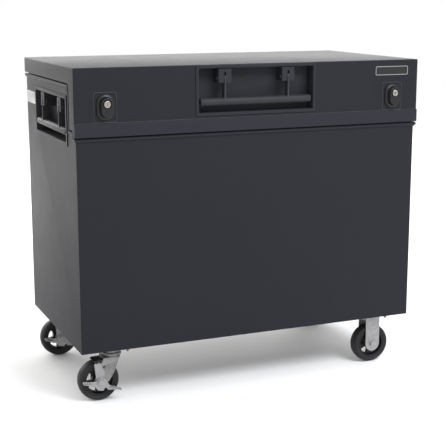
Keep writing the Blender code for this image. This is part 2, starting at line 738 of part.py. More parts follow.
def rigid_caster(word, y):
    x = CASTER_X
    centre = (x, y, WHEEL_R)
    outline = [
        (x + 0.0285, 0.1925),
        (x - 0.0285, 0.1925),
        *arc((x, 0.0765), 0.0285, 180, 360, 8),
    ]
    fork = combined(mounting_plate(x, y), legs(outline, centre))
    node(fork, word + "_rigid_fork", "zinc", (x, y, BASE_Z))
    axle(word + "_rigid_axle", centre, -LEG_OUT)
    wheel_core(word + "_rigid_core", centre)
    tyre(word + "_rigid_tyre", centre)


def swivel_plate(name, x, y):
    """Top plate with the fixed half of the raceway, the kingpin and its nut."""
    raceway = turned([(0, 0.1757), (0.037, 0.1757), (0.041, 0.180), (0.041, 0.192), (0, 0.192)], "Z",
                     (x, y, 0), 18)
    kingpin = turned([(0, 0.1482), (0.0125, 0.1482), (0.0125, 0.1560), (KINGPIN_R, 0.1560),
                      (KINGPIN_R, 0.180), (0, 0.180)], "Z", (x, y, 0), 16)
    return node(combined(mounting_plate(x, y), [raceway, kingpin]), name, "zinc", (x, y, BASE_Z), 25)


def swivel_fork(name, x, y):
    """Raked fork: head, crown and two tapering cheeks."""
    axle_x = x - TRAIL
    outline = [
        (x - 0.036, 0.1605),
        (x + 0.0235, 0.1605),
        (x + 0.0175, 0.150),
        (x + 0.0025, 0.107),
        (x - 0.020, 0.070),
        *arc((axle_x, WHEEL_R), 0.020, -45, -160, 4),
        (x - 0.0715, 0.084),
        (x - 0.058, 0.114),
        (x - 0.0475, 0.140),
    ]
    eye = arc((x - 0.037, 0.128), 0.004, 0, 360 - 45, 7)
    cheeks = legs(outline, (axle_x, y, WHEEL_R), [eye])
    crown = box((x - 0.040, y - LEG_OUT - 0.0005, 0.1565), (x + 0.027, y + LEG_OUT + 0.0005, 0.161))
    head = turned([(0, 0.160), (0.036, 0.160), (0.0425, 0.166), (0.0425, 0.1715), (0.039, 0.1752),
                   (0, 0.1752)], "Z", (x, y, 0), 18)
    bore = rod("Z", (x, y, 0), KINGPIN_R + 0.0006, 0.15, 0.19)
    return node(combined(crown, [*cheeks, head], [bore]), name, "zinc", (x, y, 0.1605), 25)


def brake_strap(name, centre):
    """Strap beside the wheel with the shoe that it holds over the tread."""
    x, y, z = centre
    rise = [
        (x + 0.0135, z - 0.004),
        (x + 0.016, z + 0.010),
        (x + 0.016, z + 0.041),
        (x + 0.006, z + 0.052),
        (x + 0.003, z + 0.067),
        *arc((x, z), 0.0795, 90, 105, 3),
        (x - 0.0222, z + 0.067),
        (x - 0.0155, z + 0.014),
        (x - 0.0150, z - 0.004),
        *arc((x - 0.0008, z - 0.004), 0.0142, 180, 360, 6)[1:-1],
    ]
    slot = arc((x, z), 0.009, 0, 360 - 22.5, 15)
    strap = plate(rise, "Y", y - LEG_OUT - 0.0033, y - LEG_OUT - GAP, [slot])
    sector = arc((x, z), 0.0777, 84, 107, 5) + arc((x, z), 0.0813, 107, 84, 5)
    shoe = plate(sector, "Y", y - LEG_OUT - 0.0036, y + 0.020)
    return node(combined(strap, [shoe]), name, "zinc", centre)


def brake_lever(name, centre):
    """Cam pedal on the axle: a short tab to lift and a long one to tread on."""
    x, y, z = centre
    outline = [
        (0.0300, -0.0120), (0.0345, -0.0170), (0.0605, -0.0256), (0.0715, -0.0291), (0.0784, -0.0354),
        (0.0764, -0.0393), (0.0640, -0.0370), (0.0268, -0.0329), (0.0168, -0.0207), (0.0115, -0.0284),
        (0.0108, -0.0335), (-0.0103, -0.0304), (-0.0183, -0.0192), (-0.0220, -0.0151),
        (-0.0328, -0.0155), (-0.0478, -0.0069), (-0.0630, -0.0035), (-0.0670, 0.0040), (-0.0630, 0.0090),
        (-0.0475, 0.0053), (-0.0222, 0.0037), *arc((0.0030, -0.0050), 0.021, 150, 10, 7),
    ]
    bore = arc((x, z), AXLE_BORE_R, 0, 360 - 22.5, 15)
    face = y - LEG_OUT - 0.0040
    pedal = plate([(x + a, z + b) for a, b in outline], "Y", face - 0.0036, face, [bore])
    flaps = [
        [(0.0360, -0.0225), (0.0720, -0.0370), (0.0735, -0.0345), (0.0375, -0.0200)],
        [(-0.0610, -0.0005), (-0.0340, -0.0062), (-0.0335, -0.0036), (-0.0605, 0.0022)],
    ]
    tread, lift = [plate([(x + a, z + b) for a, b in flap], "Y", face - 0.015, face - 0.001)
                   for flap in flaps]
    return node(combined(pedal, [tread, lift]), name, "zinc", centre)


def swivel_caster(word, y):
    x = -CASTER_X
    centre = (x - TRAIL, y, WHEEL_R)
    swivel_plate(word + "_swivel_plate", x, y)
    swivel_fork(word + "_swivel_fork", x, y)
    axle(word + "_swivel_axle", centre, -LEG_OUT - 0.0079)
    wheel_core(word + "_swivel_core", centre)
    tyre(word + "_swivel_tyre", centre)
    brake_strap(word + "_brake_strap", centre)
    brake_lever(word + "_brake_lever", centre)


def casters():
    for word, side in (("front", -1), ("rear", 1)):
        y = BODY_CENTRE_Y + side * CASTER_Y
        rigid_caster(word, y)
        swivel_caster(word, y)


# ---------------------------------------------------------------- the chest
def main():
    clear_scene()
    front_panel()
    back_panel()
    floor_panel()
    lid_front()
    lid_top()
    lid_back()
    for side, word in ((-1, "left"), (1, "right")):
        side_panel("body_side_" + word, side)
        side_rim("body_rim_" + word, side)
        lid_side("lid_side_" + word, side)
    badge_plate()
    handles()
    locks()
    hinge()
    struts()
    casters()


main()
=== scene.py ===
"""Looks of the rolling site chest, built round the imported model's frame.

Metres, +Z up, the front faces -Y. Sheet metal, handles, locks, hinge and casters are rebuilt with
bends, rounded edges, welds and fasteners on the CAD's own planes and axes. The CAD nodes that stay
get the same finishes.
"""

import json
import math
import random

import bmesh
import bpy
from mathutils import Matrix, Vector


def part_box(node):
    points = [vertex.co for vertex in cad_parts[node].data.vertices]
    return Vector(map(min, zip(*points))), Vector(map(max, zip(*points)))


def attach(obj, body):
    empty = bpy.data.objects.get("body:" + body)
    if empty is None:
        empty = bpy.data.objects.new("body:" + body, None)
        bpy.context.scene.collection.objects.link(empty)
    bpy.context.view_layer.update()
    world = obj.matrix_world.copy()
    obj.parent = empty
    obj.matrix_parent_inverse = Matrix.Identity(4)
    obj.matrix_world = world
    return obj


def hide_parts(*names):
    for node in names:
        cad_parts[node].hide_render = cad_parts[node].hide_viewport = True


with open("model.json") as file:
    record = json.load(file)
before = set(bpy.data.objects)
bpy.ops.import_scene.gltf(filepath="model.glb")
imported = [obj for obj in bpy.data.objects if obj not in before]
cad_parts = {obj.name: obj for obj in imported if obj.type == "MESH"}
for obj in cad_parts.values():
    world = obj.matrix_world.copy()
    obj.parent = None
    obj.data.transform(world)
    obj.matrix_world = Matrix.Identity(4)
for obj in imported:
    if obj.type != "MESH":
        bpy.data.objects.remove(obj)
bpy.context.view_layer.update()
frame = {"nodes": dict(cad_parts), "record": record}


# ---------------------------------------------------------------- sizes, taken from the frame
LID_LOW, LID_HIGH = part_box("lid_top_panel")
BODY_LOW, BODY_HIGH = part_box("body_back_panel")
LID_X, FRONT, BACK, TOP = LID_HIGH.x, LID_LOW.y, LID_HIGH.y, LID_HIGH.z
BODY_X, BASE_Z, SIDE_RIM_Z = BODY_HIGH.x, BODY_LOW.z, BODY_HIGH.z
FRONT_RIM_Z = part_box("body_front_panel")[1].z
LID_FRONT_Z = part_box("lid_front_panel")[0].z
BODY_FRONT = FRONT + 0.006          # the lid's front hangs before the body
SHEET = 0.0025
LID_GAP = 0.005
GAP = 0.0003              # clearance between fitted pieces
SKIN = 0.0001             # between a built piece and the next
BEYOND = 0.02             # how far a cutter reaches past the sheet it cuts

STEP_Y = FRONT + 0.0733
LID_STEP_Y = FRONT + 0.0673         # the lid's step stands further from the rim's than LID_GAP
NOTCH_Y = FRONT + 0.0283
NOTCH_Z = 0.975
STEP_RADIUS = 0.016
RIM_DEPTH = 0.028
HEM = 0.014
FRONT_BEAD_HEIGHT = 0.0165
FRONT_BEAD = 0.0075
SIDE_BEAD = 0.0066
SIDE_BEAD_HEIGHT = 0.0155
FOLD = 0.003              # outside radius of the sheet's folds
RIM_FOLD = 0.0022         # outside radius of the rim's inner fold
BAND_TOP_Z = 1.004
BAND_PROUD = 0.004

PAN_DEPTH = 0.048
PAN_PROUD = 0.0035
PAN_SHEET = 0.002
PAN_CORNER = 0.0045       # outside radius of the tray's upright corners
TUBE_R = 0.014
TUBE_BORE_R = 0.0115
HANDLE_INSET = 0.009
HANDLE_DROP = 0.0812
ARM_THICKNESS = 0.0055
ARM_R = 0.012
PIN_R = 0.0035
PIN_HEAD_R = 0.0045
PIN_HEAD = 0.004
HOUSING_HALF = 0.025
HOUSING_PROUD = 0.001
SLOT_HALF = 0.0035
SLOT_RISE = 0.0217

LOCK_X = 0.558
SHROUD_Z = 1.0575
BARREL_Z = 1.069
BARREL_R = 0.0115
LOCK_PROUD = 0.0265

CASTER_X = 0.5325
TYRE_BOX = {"front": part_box("front_rigid_tyre"), "rear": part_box("rear_rigid_tyre")}
CASTER_Y = {word: (low.y + high.y) / 2 for word, (low, high) in TYRE_BOX.items()}
WHEEL_R = 0.075
TRAIL = 0.052
LEG_IN, LEG_OUT = 0.026, 0.030
PLATE_X, PLATE_Y, PLATE_T = 0.065, 0.054, 0.005
BOLT_X, BOLT_Y = 0.0495, 0.038      # from the plate's centre
AXLE_R = 0.006
AXLE_BORE_R = 0.0066

HINGE_Y, HINGE_Z = BACK + 0.0058, 1.1305
HINGE_LENGTH = 1.26
KNUCKLES = 7
KNUCKLE_R = 0.0057
KNUCKLE_BORE_R = 0.0029
LEAF_T = 0.002
LEAF_REACH = 0.036
LEAF_CLEAR = 0.0049       # from the pin's axis to a leaf's edge

WORD = {-1: "left", 1: "right"}

PUSH = {
    "X": lambda a, b, depth: (depth, a, b),
    "Y": lambda a, b, depth: (a, depth, b),
    "Z": lambda a, b, depth: (a, b, depth),
}
TURN = {
    "X": (Vector((0, 1, 0)), Vector((0, 0, 1)), Vector((1, 0, 0))),
    "Y": (Vector((0, 0, 1)), Vector((1, 0, 0)), Vector((0, 1, 0))),
    "Z": (Vector((1, 0, 0)), Vector((0, 1, 0)), Vector((0, 0, 1))),
}


# ---------------------------------------------------------------- finishes
def surface(name, colour, roughness, metallic=0.0, cloud=(0.3, 0.06), grain=(0.0012, 0.00008),
            spread=0.05, edge=0.0, specular=0.5):
    """A finish: its colour drifts in clouds (size, share), its grain (size, height) is a bump, its
    roughness varies by the spread, and edge lightens what stands out."""
    material = bpy.data.materials.new(name)
    material.use_nodes = True
    nodes, links = material.node_tree.nodes, material.node_tree.links
    shader = nodes["Principled BSDF"]
    shader.inputs["Metallic"].default_value = metallic
    shader.inputs["Specular IOR Level"].default_value = specular
    place = nodes.new("ShaderNodeTexCoord")

    def noise(size, detail):
        node = nodes.new("ShaderNodeTexNoise")
        node.inputs["Scale"].default_value = 1 / size
        node.inputs["Detail"].default_value = detail
        links.new(place.outputs["Object"], node.inputs["Vector"])
        return node.outputs["Fac"]

    def ranged(value, start, end, low, high):
        node = nodes.new("ShaderNodeMapRange")
        numbers = {"From Min": start, "From Max": end, "To Min": low, "To Max": high}
        for socket, number in numbers.items():
            node.inputs[socket].default_value = number
        links.new(value, node.inputs["Value"])
        return node.outputs["Result"]

    def mixed(factor, first, second):
        node = nodes.new("ShaderNodeMix")
        node.data_type = "RGBA"
        links.new(factor, node.inputs["Factor"])
        for socket, value in (("A", first), ("B", second)):
            target = next(i for i in node.inputs if i.name == socket and i.type == "RGBA")
            if isinstance(value, tuple):
                target.default_value = (*value, 1.0)
            else:
                links.new(value, target)
        return next(o for o in node.outputs if o.type == "RGBA")

    share = cloud[1]
    dark = tuple(c * (1 - share) for c in colour)
    light = tuple(c * (1 + share) for c in colour)
    base = mixed(ranged(noise(cloud[0], 4), 0.3, 0.7, 0, 1), dark, light)
    speck = tuple(c * (1 + 1.5 * share) for c in light)
    base = mixed(ranged(noise(grain[0], 2), 0.45, 0.75, 0, 0.35), base, speck)
    if edge:
        geometry = nodes.new("ShaderNodeNewGeometry")
        worn = tuple(min(1, c * (1 + edge)) for c in colour)
        base = mixed(ranged(geometry.outputs["Pointiness"], 0.52, 0.62, 0, 1), base, worn)
    links.new(base, shader.inputs["Base Color"])
    links.new(ranged(noise(cloud[0] / 7, 3), 0.3, 0.7, roughness - spread, roughness + spread),
              shader.inputs["Roughness"])
    bump = nodes.new("ShaderNodeBump")
    bump.inputs["Distance"].default_value = grain[1]
    links.new(noise(grain[0], 3), bump.inputs["Height"])
    links.new(bump.outputs["Normal"], shader.inputs["Normal"])
    return material


FINISH = {
    "powder_coat": surface("powder_coat", (0.0128, 0.0132, 0.0170), 0.50, cloud=(0.45, 0.05),
                           grain=(0.0016, 0.00007), spread=0.015, edge=0.5, specular=0.11),
    # painted fill light: a lighter copy of the powder coat, so the handle recesses and their welds look
    # brighter than their shade
    "pan_coat_painted_fill": surface("pan_coat_painted_fill", (0.0180, 0.0185, 0.0225), 0.50, cloud=(0.10, 0.08),
                        grain=(0.0016, 0.00007), spread=0.02, edge=0.4, specular=0.12),
    # painted highlight: a lighter copy of the powder coat, so the handle tubes, arms and their welds look
    # more brightly lit
    "bar_coat_painted_highlight": surface("bar_coat_painted_highlight", (0.0245, 0.0250, 0.0285), 0.50, cloud=(0.05, 0.10),
                        grain=(0.0014, 0.00007), spread=0.03, edge=0.6, specular=0.13),
    "weld": surface("weld", (0.040, 0.040, 0.043), 0.42, cloud=(0.05, 0.15), grain=(0.0012, 0.00008),
                    edge=0.4, specular=0.3),
    "black_coat": surface("black_coat", (0.009, 0.009, 0.0098), 0.36, grain=(0.0012, 0.00006), edge=0.3,
                          specular=0.30),
    "badge": surface("badge", (0.004, 0.004, 0.0045), 0.30, cloud=(0.05, 0.1), grain=(0.0008, 0.00002)),
    "border": surface("badge_border", (0.25, 0.25, 0.255), 0.38, cloud=(0.04, 0.05),
                      grain=(0.0008, 0.00002)),
    "label": surface("label", (0.30, 0.305, 0.30), 0.42, cloud=(0.05, 0.03), grain=(0.0010, 0.00002)),
    "chrome": surface("chrome", (0.36, 0.345, 0.32), 0.26, 1.0, cloud=(0.006, 0.45),
                      grain=(0.0006, 0.00004), spread=0.08),
    "steel": surface("steel", (0.42, 0.42, 0.43), 0.34, 1.0, cloud=(0.05, 0.06),
                     grain=(0.0008, 0.00003), spread=0.06),
    "zinc": surface("zinc", (0.165, 0.162, 0.160), 0.46, 0.7, cloud=(0.016, 0.22),
                    grain=(0.0010, 0.00006), spread=0.09, edge=0.5),
    # painted light: a lighter copy of the zinc, standing in for the stronger light on the right-hand
    # rigid forks, and worn by the bolts, straps, rivets and pedals too
    "zinc_painted_light": surface("zinc_painted_light", (0.285, 0.280, 0.283), 0.44, 0.7, cloud=(0.016, 0.14),
                           grain=(0.0010, 0.00006), spread=0.09, edge=0.4),
    "rubber": surface("rubber", (0.012, 0.012, 0.013), 0.62, cloud=(0.06, 0.12),
                      grain=(0.0014, 0.00015), spread=0.08, specular=0.3),
    "wheel_core": surface("wheel_core", (0.007, 0.007, 0.008), 0.50, cloud=(0.05, 0.1),
                          grain=(0.0020, 0.00020), spread=0.07, specular=0.3),
}


# ---------------------------------------------------------------- mesh helpers
def solid(bm):
    """An object from a mesh under construction, which is used up."""
    bmesh.ops.recalc_face_normals(bm, faces=bm.faces)
    mesh = bpy.data.meshes.new("tool")
    bm.to_mesh(mesh)
    bm.free()
    obj = bpy.data.objects.new("tool", mesh)
    bpy.context.scene.collection.objects.link(obj)
    return obj


def arc(centre, radius, start, end, steps):
    """Points on an arc, from one angle to another in degrees."""
    angles = [math.radians(start + (end - start) * i / steps) for i in range(steps + 1)]
    return [(centre[0] + radius * math.cos(a), centre[1] + radius * math.sin(a)) for a in angles]


def circle(centre, radius, count=24):
    """Evenly spaced points on a circle."""
    return arc(centre, radius, 0, 360 - 360 / count, count - 1)


def rounded_rectangle(centre, half_width, half_height, radius, steps=5):
    points = []
    for sx, sy, start in ((1, 1, 0), (-1, 1, 90), (-1, -1, 180), (1, -1, 270)):
        corner = (centre[0] + sx * (half_width - radius), centre[1] + sy * (half_height - radius))
        points += arc(corner, radius, start, start + 90, steps)
    return points


def rounded(points, radius, steps=4):
    """A closed outline with each corner replaced by an arc-like curve. A radius is one number, or
    one for each corner."""
    result = []
    count = len(points)
    for i, point in enumerate(points):
        size = radius[i] if isinstance(radius, (list, tuple)) else radius
        here = Vector(point)
        before, after = Vector(points[i - 1]) - here, Vector(points[(i + 1) % count]) - here
        reach = min(size, 0.45 * before.length, 0.45 * after.length)
        if reach < 1e-5:
            result.append(tuple(here))
            continue
        start, end = here + before.normalized() * reach, here + after.normalized() * reach
        for step in range(steps + 1):
            t = step / steps
            result.append(tuple(start * (1 - t) ** 2 + here * 2 * t * (1 - t) + end * t ** 2))
    return result


def plate(outline, axis, low, high, holes=()):
    """A flat plate with the given outline and holes."""
    bm = bmesh.new()
    edges = []
    for loop in (outline, *holes):
        verts = [bm.verts.new(PUSH[axis](a, b, low)) for a, b in loop]
        edges += [bm.edges.new((verts[i - 1], verts[i])) for i in range(len(verts))]
    filled = bmesh.ops.triangle_fill(bm, edges=edges, use_beauty=True, use_dissolve=False)
    faces = [item for item in filled["geom"] if isinstance(item, bmesh.types.BMFace)]
    pushed = bmesh.ops.extrude_face_region(bm, geom=faces)
    moved = [item for item in pushed["geom"] if isinstance(item, bmesh.types.BMVert)]
    bmesh.ops.translate(bm, verts=moved, vec=PUSH[axis](0, 0, high - low))
    return solid(bm)


def box(x, y, z):
    """A box from its limits along each axis."""
    return plate([(x[0], y[0]), (x[1], y[0]), (x[1], y[1]), (x[0], y[1])], "Z", z[0], z[1])


def loft(loops, closed=False):
    """A solid through loops of equally many points, capped at its ends unless it is closed."""
    bm = bmesh.new()
    rings = [[bm.verts.new(point) for point in loop] for loop in loops]
    pairs = list(zip(rings, rings[1:]))
    if closed:
        pairs.append((rings[-1], rings[0]))
    for first, second in pairs:
        for i in range(len(first)):
            bm.faces.new((first[i - 1], first[i], second[i], second[i - 1]))
    if not closed:
        bm.faces.new(rings[0])
        bm.faces.new(rings[-1])
    return solid(bm)


def turned(profile, axis, centre, segments=48):
    """A turned solid: radii and heights along the axis. A radius of 0 closes an end; with no
    such end the profile closes on itself, round a bore."""
    across, up, along = TURN[axis]
    bm = bmesh.new()
    rings = []
    for radius, height in profile:
        count = segments if radius > 0 else 1
        angles = [2 * math.pi * i / count for i in range(count)]
        middle = Vector(centre) + along * height
        rings.append([bm.verts.new(middle + (across * math.cos(a) + up * math.sin(a)) * radius)
                      for a in angles])
    if profile[0][0] > 0:
        rings.append(rings[0])
    for first, second in zip(rings, rings[1:]):
        for i in range(segments):
            if len(first) == 1:
                corners = [first[0], second[i], second[i - 1]]
            elif len(second) == 1:
                corners = [first[i - 1], first[i], second[0]]
            else:
                corners = [first[i - 1], first[i], second[i], second[i - 1]]
            bm.faces.new(corners)
    return solid(bm)


def rod(axis, centre, radius, low, high, segments=32):
    return turned([(0, low), (radius, low), (radius, high), (0, high)], axis, centre, segments)


def hexagon(axis, centre, radius, low, high, chamfer=0.0006):
    """A chamfered hexagon, as on a bolt head or a nut."""
    across, up, along = TURN[axis]
    loops = []
    for r, h in ((radius - chamfer, low), (radius, low + chamfer), (radius, high - chamfer),
                 (radius - chamfer, high)):
        angles = [math.pi * i / 3 for i in range(6)]
        loops.append([Vector(centre) + along * h + (across * math.cos(a) + up * math.sin(a)) * r
                      for a in angles])
    return loft(loops)


def combined(base, joins=(), cuts=()):
    """The base joined with some tools and cut by others; the tools are used up."""
    for operation, tools in (("UNION", joins), ("DIFFERENCE", cuts)):
        for tool in tools:
            modifier = base.modifiers.new(operation, "BOOLEAN")
            modifier.operation = operation
            modifier.solver = "EXACT"
            modifier.object = tool
    graph = bpy.context.evaluated_depsgraph_get()
    mesh = bpy.data.meshes.new_from_object(base.evaluated_get(graph))
    base.modifiers.clear()
    base.data = mesh
    for tool in (*joins, *cuts):
        bpy.data.objects.remove(tool, do_unlink=True)
    bm = bmesh.new()
    bm.from_mesh(mesh)
    bmesh.ops.remove_doubles(bm, verts=bm.verts, dist=1e-6)
    bmesh.ops.dissolve_limit(bm, angle_limit=math.radians(0.5), verts=bm.verts, edges=bm.edges)
    bm.to_mesh(mesh)
    bm.free()
    return base


def rippled(points, radius, seed, closed=False):
    """A weld bead along some points: a tube whose radius ripples, tapered at open ends."""
    draw = random.Random(seed)
    sides = 8
    loops = []
    count = len(points)
    for i, point in enumerate(points):
        before = Vector(points[i - 1] if closed or i else points[i])
        after = Vector(points[(i + 1) % count] if closed or i + 1 < count else points[i])
        run = (after - before).normalized()
        helper = Vector((0, 0, 1)) if abs(run.z) < 0.9 else Vector((0, 1, 0))
        side = run.cross(helper).normalized()
        other = side.cross(run)
        grow = radius * (0.86 + 0.14 * math.sin(i * 2.1) + draw.uniform(-0.18, 0.18))
        if not closed:
            grow *= min(1, (0.3 + min(i, count - 1 - i)) / 2.5)
        loops.append([Vector(point) + (side * math.cos(a) + other * math.sin(a)) * grow
                      for a in (2 * math.pi * k / sides for k in range(sides))])
    return loft(loops, closed)


def finished(obj, name, finish, body, replaces=(), bevel=0.0, angle=32):
    """Names a piece, gives it its finish and its edge radius, and hangs it on its body."""
    obj.name = name
    obj.data.name = name
    obj.data.materials.clear()
    obj.data.materials.append(FINISH[finish])
    obj.data.shade_smooth()
    if bevel:
        modifier = obj.modifiers.new("edges", "BEVEL")
        modifier.width = bevel
        modifier.segments = 2
        modifier.limit_method = "ANGLE"
        modifier.angle_limit = math.radians(angle)
        modifier.harden_normals = True
    else:
        obj.data.set_sharp_from_angle(angle=math.radians(angle))
    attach(obj, body)
    if replaces:
        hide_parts(*replaces)
    return obj


def offset_path(path, distance):
    """The path moved to its left by a distance, with mitred corners."""
    moved = []
    for i, point in enumerate(path):
        near = path[max(0, i - 1):i + 2]
        runs = [(Vector(end) - Vector(start)).normalized() for start, end in zip(near, near[1:])]
        normals = [Vector((run.y, -run.x)) for run in runs]
        mean = sum(normals, Vector((0, 0)))
        mean /= 1 + normals[0].dot(normals[-1]) if len(normals) == 2 else 1
        moved.append(tuple(Vector(point) + mean * distance))
    return moved


def rim_path(step_y=STEP_Y, front_z=FRONT_RIM_Z):
    """The stepped upper edge of the body's side, from back to front, as y and z."""
    corner = (step_y + STEP_RADIUS, SIDE_RIM_Z - STEP_RADIUS)
    return [
        (BACK - SHEET, SIDE_RIM_Z),
        *arc(corner, STEP_RADIUS, 90, 180, 10),
        (step_y, NOTCH_Z),
        (NOTCH_Y, NOTCH_Z),
        (NOTCH_Y, front_z),
        (BODY_FRONT, front_z),
    ]


# ---------------------------------------------------------------- handles: sizes and places
FRONT_HANDLE = {
    "low": 1.0231, "high": 1.178, "pivot": 1.142, "half_width": 0.2225, "flange": 0.0105,
    "arms": 0.1229, "tube": 0.2149, "housing_low": 1.1265, "housing_high": 1.1755,
}
SIDE_HANDLE = {
    "low": 0.9278, "high": 1.0793, "pivot": 1.0449, "half_width": 0.2115, "flange": 0.012,
    "arms": 0.1175, "tube": 0.205, "housing_low": 1.0265, "housing_high": 1.0765,
}
FRONT_HANDLE_X = 0.0024
BODY_MIDDLE_Y = 0.0075
SIDE_HANDLE_Y = BODY_MIDDLE_Y - 0.017
HANDLES = {
    "front": (FRONT_HANDLE, Matrix.Translation((FRONT_HANDLE_X, FRONT, FRONT_HANDLE["pivot"])), "lid"),
    "left": (SIDE_HANDLE, Matrix.Translation((-BODY_X, SIDE_HANDLE_Y, SIDE_HANDLE["pivot"]))
             @ Matrix.Rotation(math.radians(-90), 4, "Z"), "chest"),
    "right": (SIDE_HANDLE, Matrix.Translation((BODY_X, SIDE_HANDLE_Y, SIDE_HANDLE["pivot"]))
              @ Matrix.Rotation(math.radians(90), 4, "Z"), "chest"),
}


def pan_hole(size, place):
    """The cutter for a pan's opening in its panel, in world coordinates."""
    low, high = size["low"] - size["pivot"], size["high"] - size["pivot"]
    half_x = size["half_width"] + PAN_SHEET + GAP
    half_z = (high - low) / 2 + PAN_SHEET + GAP
    outline = rounded_rectangle((0, (low + high) / 2), half_x, half_z, PAN_CORNER)
    cutter = plate(outline, "Y", -0.01, 0.01)
    cutter.data.transform(place)
    return cutter


# ---------------------------------------------------------------- the body's sheets
def body_shell():
    """One folded skin for the front, sides and back, open where the rim and the pans sit."""
    middle = (0, (BODY_FRONT + BACK) / 2)
    half_y = (BACK - BODY_FRONT) / 2
    outer = rounded_rectangle(middle, BODY_X, half_y, FOLD)
    inner = rounded_rectangle(middle, BODY_X - SHEET, half_y - SHEET, FOLD - 0.002)
    skin = plate(outer, "Z", BASE_Z, SIDE_RIM_Z, [inner])
    edge = offset_path(rim_path(), -SHEET - SKIN)
    above = [(BACK + BEYOND, edge[0][1]), *edge[1:-1], (BODY_FRONT - BEYOND, edge[-1][1]),
             (BODY_FRONT - BEYOND, TOP), (BACK + BEYOND, TOP)]
    cutters = [plate(above, "X", -1, 1)]
    cutters += [pan_hole(HANDLES[word][0], HANDLES[word][1]) for word in ("left", "right")]
    finished(combined(skin, cuts=cutters), "body_shell", "powder_coat", "chest",
             ("body_front_panel", "body_back_panel", "body_side_left", "body_side_right"), 0.0007)


def front_lip():
    """Outside of the front's rim: a bead with a rounded point."""
    tip = (FRONT_BEAD - 0.0020, -0.008)
    return [(SKIN, -FRONT_BEAD_HEIGHT), (0.0012, -FRONT_BEAD_HEIGHT + 0.0010),
            *arc(tip, 0.0020, -42, 42, 5), (0.0015, -0.0016), (0.0003, -0.0003)]


def side_lip():
    """Outside of a side's rim: a bead with an upright face, as many points as the front's."""
    return [(SKIN, -SIDE_BEAD_HEIGHT), (0.0003, 0.0001 - SIDE_BEAD_HEIGHT),
            *arc((SIDE_BEAD - 0.0015, -0.0075), 0.0015, -50, 0, 3),
            (SIDE_BEAD, -0.0040), *arc((SIDE_BEAD - 0.0011, -0.0011), 0.0011, 0, 80, 2)]


def rim_section(lip, depth):
    """The folded rim: a lip outside, a flange and a turned-down hem inside."""
    fold = arc((RIM_FOLD - depth, -RIM_FOLD), RIM_FOLD, 90, 180, 3)
    return [*lip, *fold, (-depth, -HEM), (SHEET - depth, -HEM), (SHEET - depth, -SHEET),
            (SKIN, -SHEET)]


def body_rim():
    """The rim runs from the back of one side over its step, across the front and back again."""
    path = rim_path()
    narrow = 0.020

    def lines(depth):
        """Each point of a side's section, as how far out it is and the line that it runs along."""
        return [(out, offset_path(path, rise)) for out, rise in rim_section(side_lip(), depth)]

    wide, near = lines(RIM_DEPTH), lines(narrow)

    def side_loops(side):
        return [[(side * (BODY_X + out), *line[i]) for out, line in (wide if i < len(path) - 3 else near)]
                for i in range(len(path) - 1)]

    def front_loop(x, depth, mitre):
        across = rim_section(front_lip(), depth)
        beside = rim_section(side_lip(), depth)
        side = math.copysign(1, x)
        return [(x + (side * other if mitre else 0), BODY_FRONT - out, FRONT_RIM_Z + rise)
                for (out, rise), (other, _) in zip(across, beside)]

    loops = side_loops(-1)
    loops += [front_loop(-BODY_X, narrow, True), front_loop(-BODY_X + 0.040, RIM_DEPTH, False),
              front_loop(BODY_X - 0.040, RIM_DEPTH, False), front_loop(BODY_X, narrow, True)]
    loops += reversed(side_loops(1))
    slots = [box((s * LOCK_X - 0.010, s * LOCK_X + 0.010), (FRONT + 0.0115, FRONT + 0.0215),
                 (FRONT_RIM_Z - 0.01, FRONT_RIM_Z + 0.01)) for s in (-1, 1)]
    finished(combined(loft(loops), cuts=slots), "body_rim", "powder_coat", "chest",
             ("body_rim_left", "body_rim_right"), angle=28)
    back = [(BACK - SHEET - SKIN, SIDE_RIM_Z - SHEET - SKIN), (BACK, SIDE_RIM_Z - SHEET - SKIN),
            *arc((BACK - RIM_FOLD, SIDE_RIM_Z - RIM_FOLD), RIM_FOLD, 0, 90, 3),
            *arc((BACK - RIM_DEPTH + RIM_FOLD, SIDE_RIM_Z - RIM_FOLD), RIM_FOLD, 90, 180, 3),
            (BACK - RIM_DEPTH, SIDE_RIM_Z - HEM), (BACK - RIM_DEPTH + SHEET, SIDE_RIM_Z - HEM),
            (BACK - RIM_DEPTH + SHEET, SIDE_RIM_Z - SHEET)]
    inner = BODY_X - RIM_DEPTH - GAP
    finished(plate(back, "X", -inner, inner), "back_flange", "powder_coat", "chest", angle=28)


def lid_shell():
    """Lid folded from one sheet, with the drop front, stepped sides and the back flange."""
    low = LID_FRONT_Z
    cover = box((-LID_X, LID_X), (FRONT, BACK), (low, TOP))
    bm = bmesh.new()
    bm.from_mesh(cover.data)
    folds = [e for e in bm.edges if max(v.co.z for v in e.verts) > TOP - 1e-5
             and len(e.link_faces) == 2 and e.calc_face_angle() > 1]
    bmesh.ops.bevel(bm, geom=folds, offset=FOLD, segments=5, affect="EDGES", profile=0.5)
    bm.to_mesh(cover.data)
    bm.free()
    inside = box((-LID_X + SHEET, LID_X - SHEET), (FRONT + SHEET, BACK - SHEET),
                 (low - 0.1, TOP - SHEET))
    edge = offset_path(rim_path(LID_STEP_Y, low - LID_GAP), LID_GAP)[1:-2]
    below = [(BACK + BEYOND, SIDE_RIM_Z + LID_GAP), *edge, (edge[-1][0], low - BEYOND),
             (BACK + BEYOND, low - BEYOND)]
    cutters = [inside, plate(below, "X", -1, 1), pan_hole(FRONT_HANDLE, HANDLES["front"][1])]
    cutters += [rod("Y", (s * LOCK_X, FRONT, BARREL_Z), 0.013, -0.02, 0.02) for s in (-1, 1)]
    finished(combined(cover, cuts=cutters), "lid_shell", "powder_coat", "lid",
             ("lid_top_panel", "lid_front_panel", "lid_back_flange", "lid_side_left", "lid_side_right"),
             0.0006)


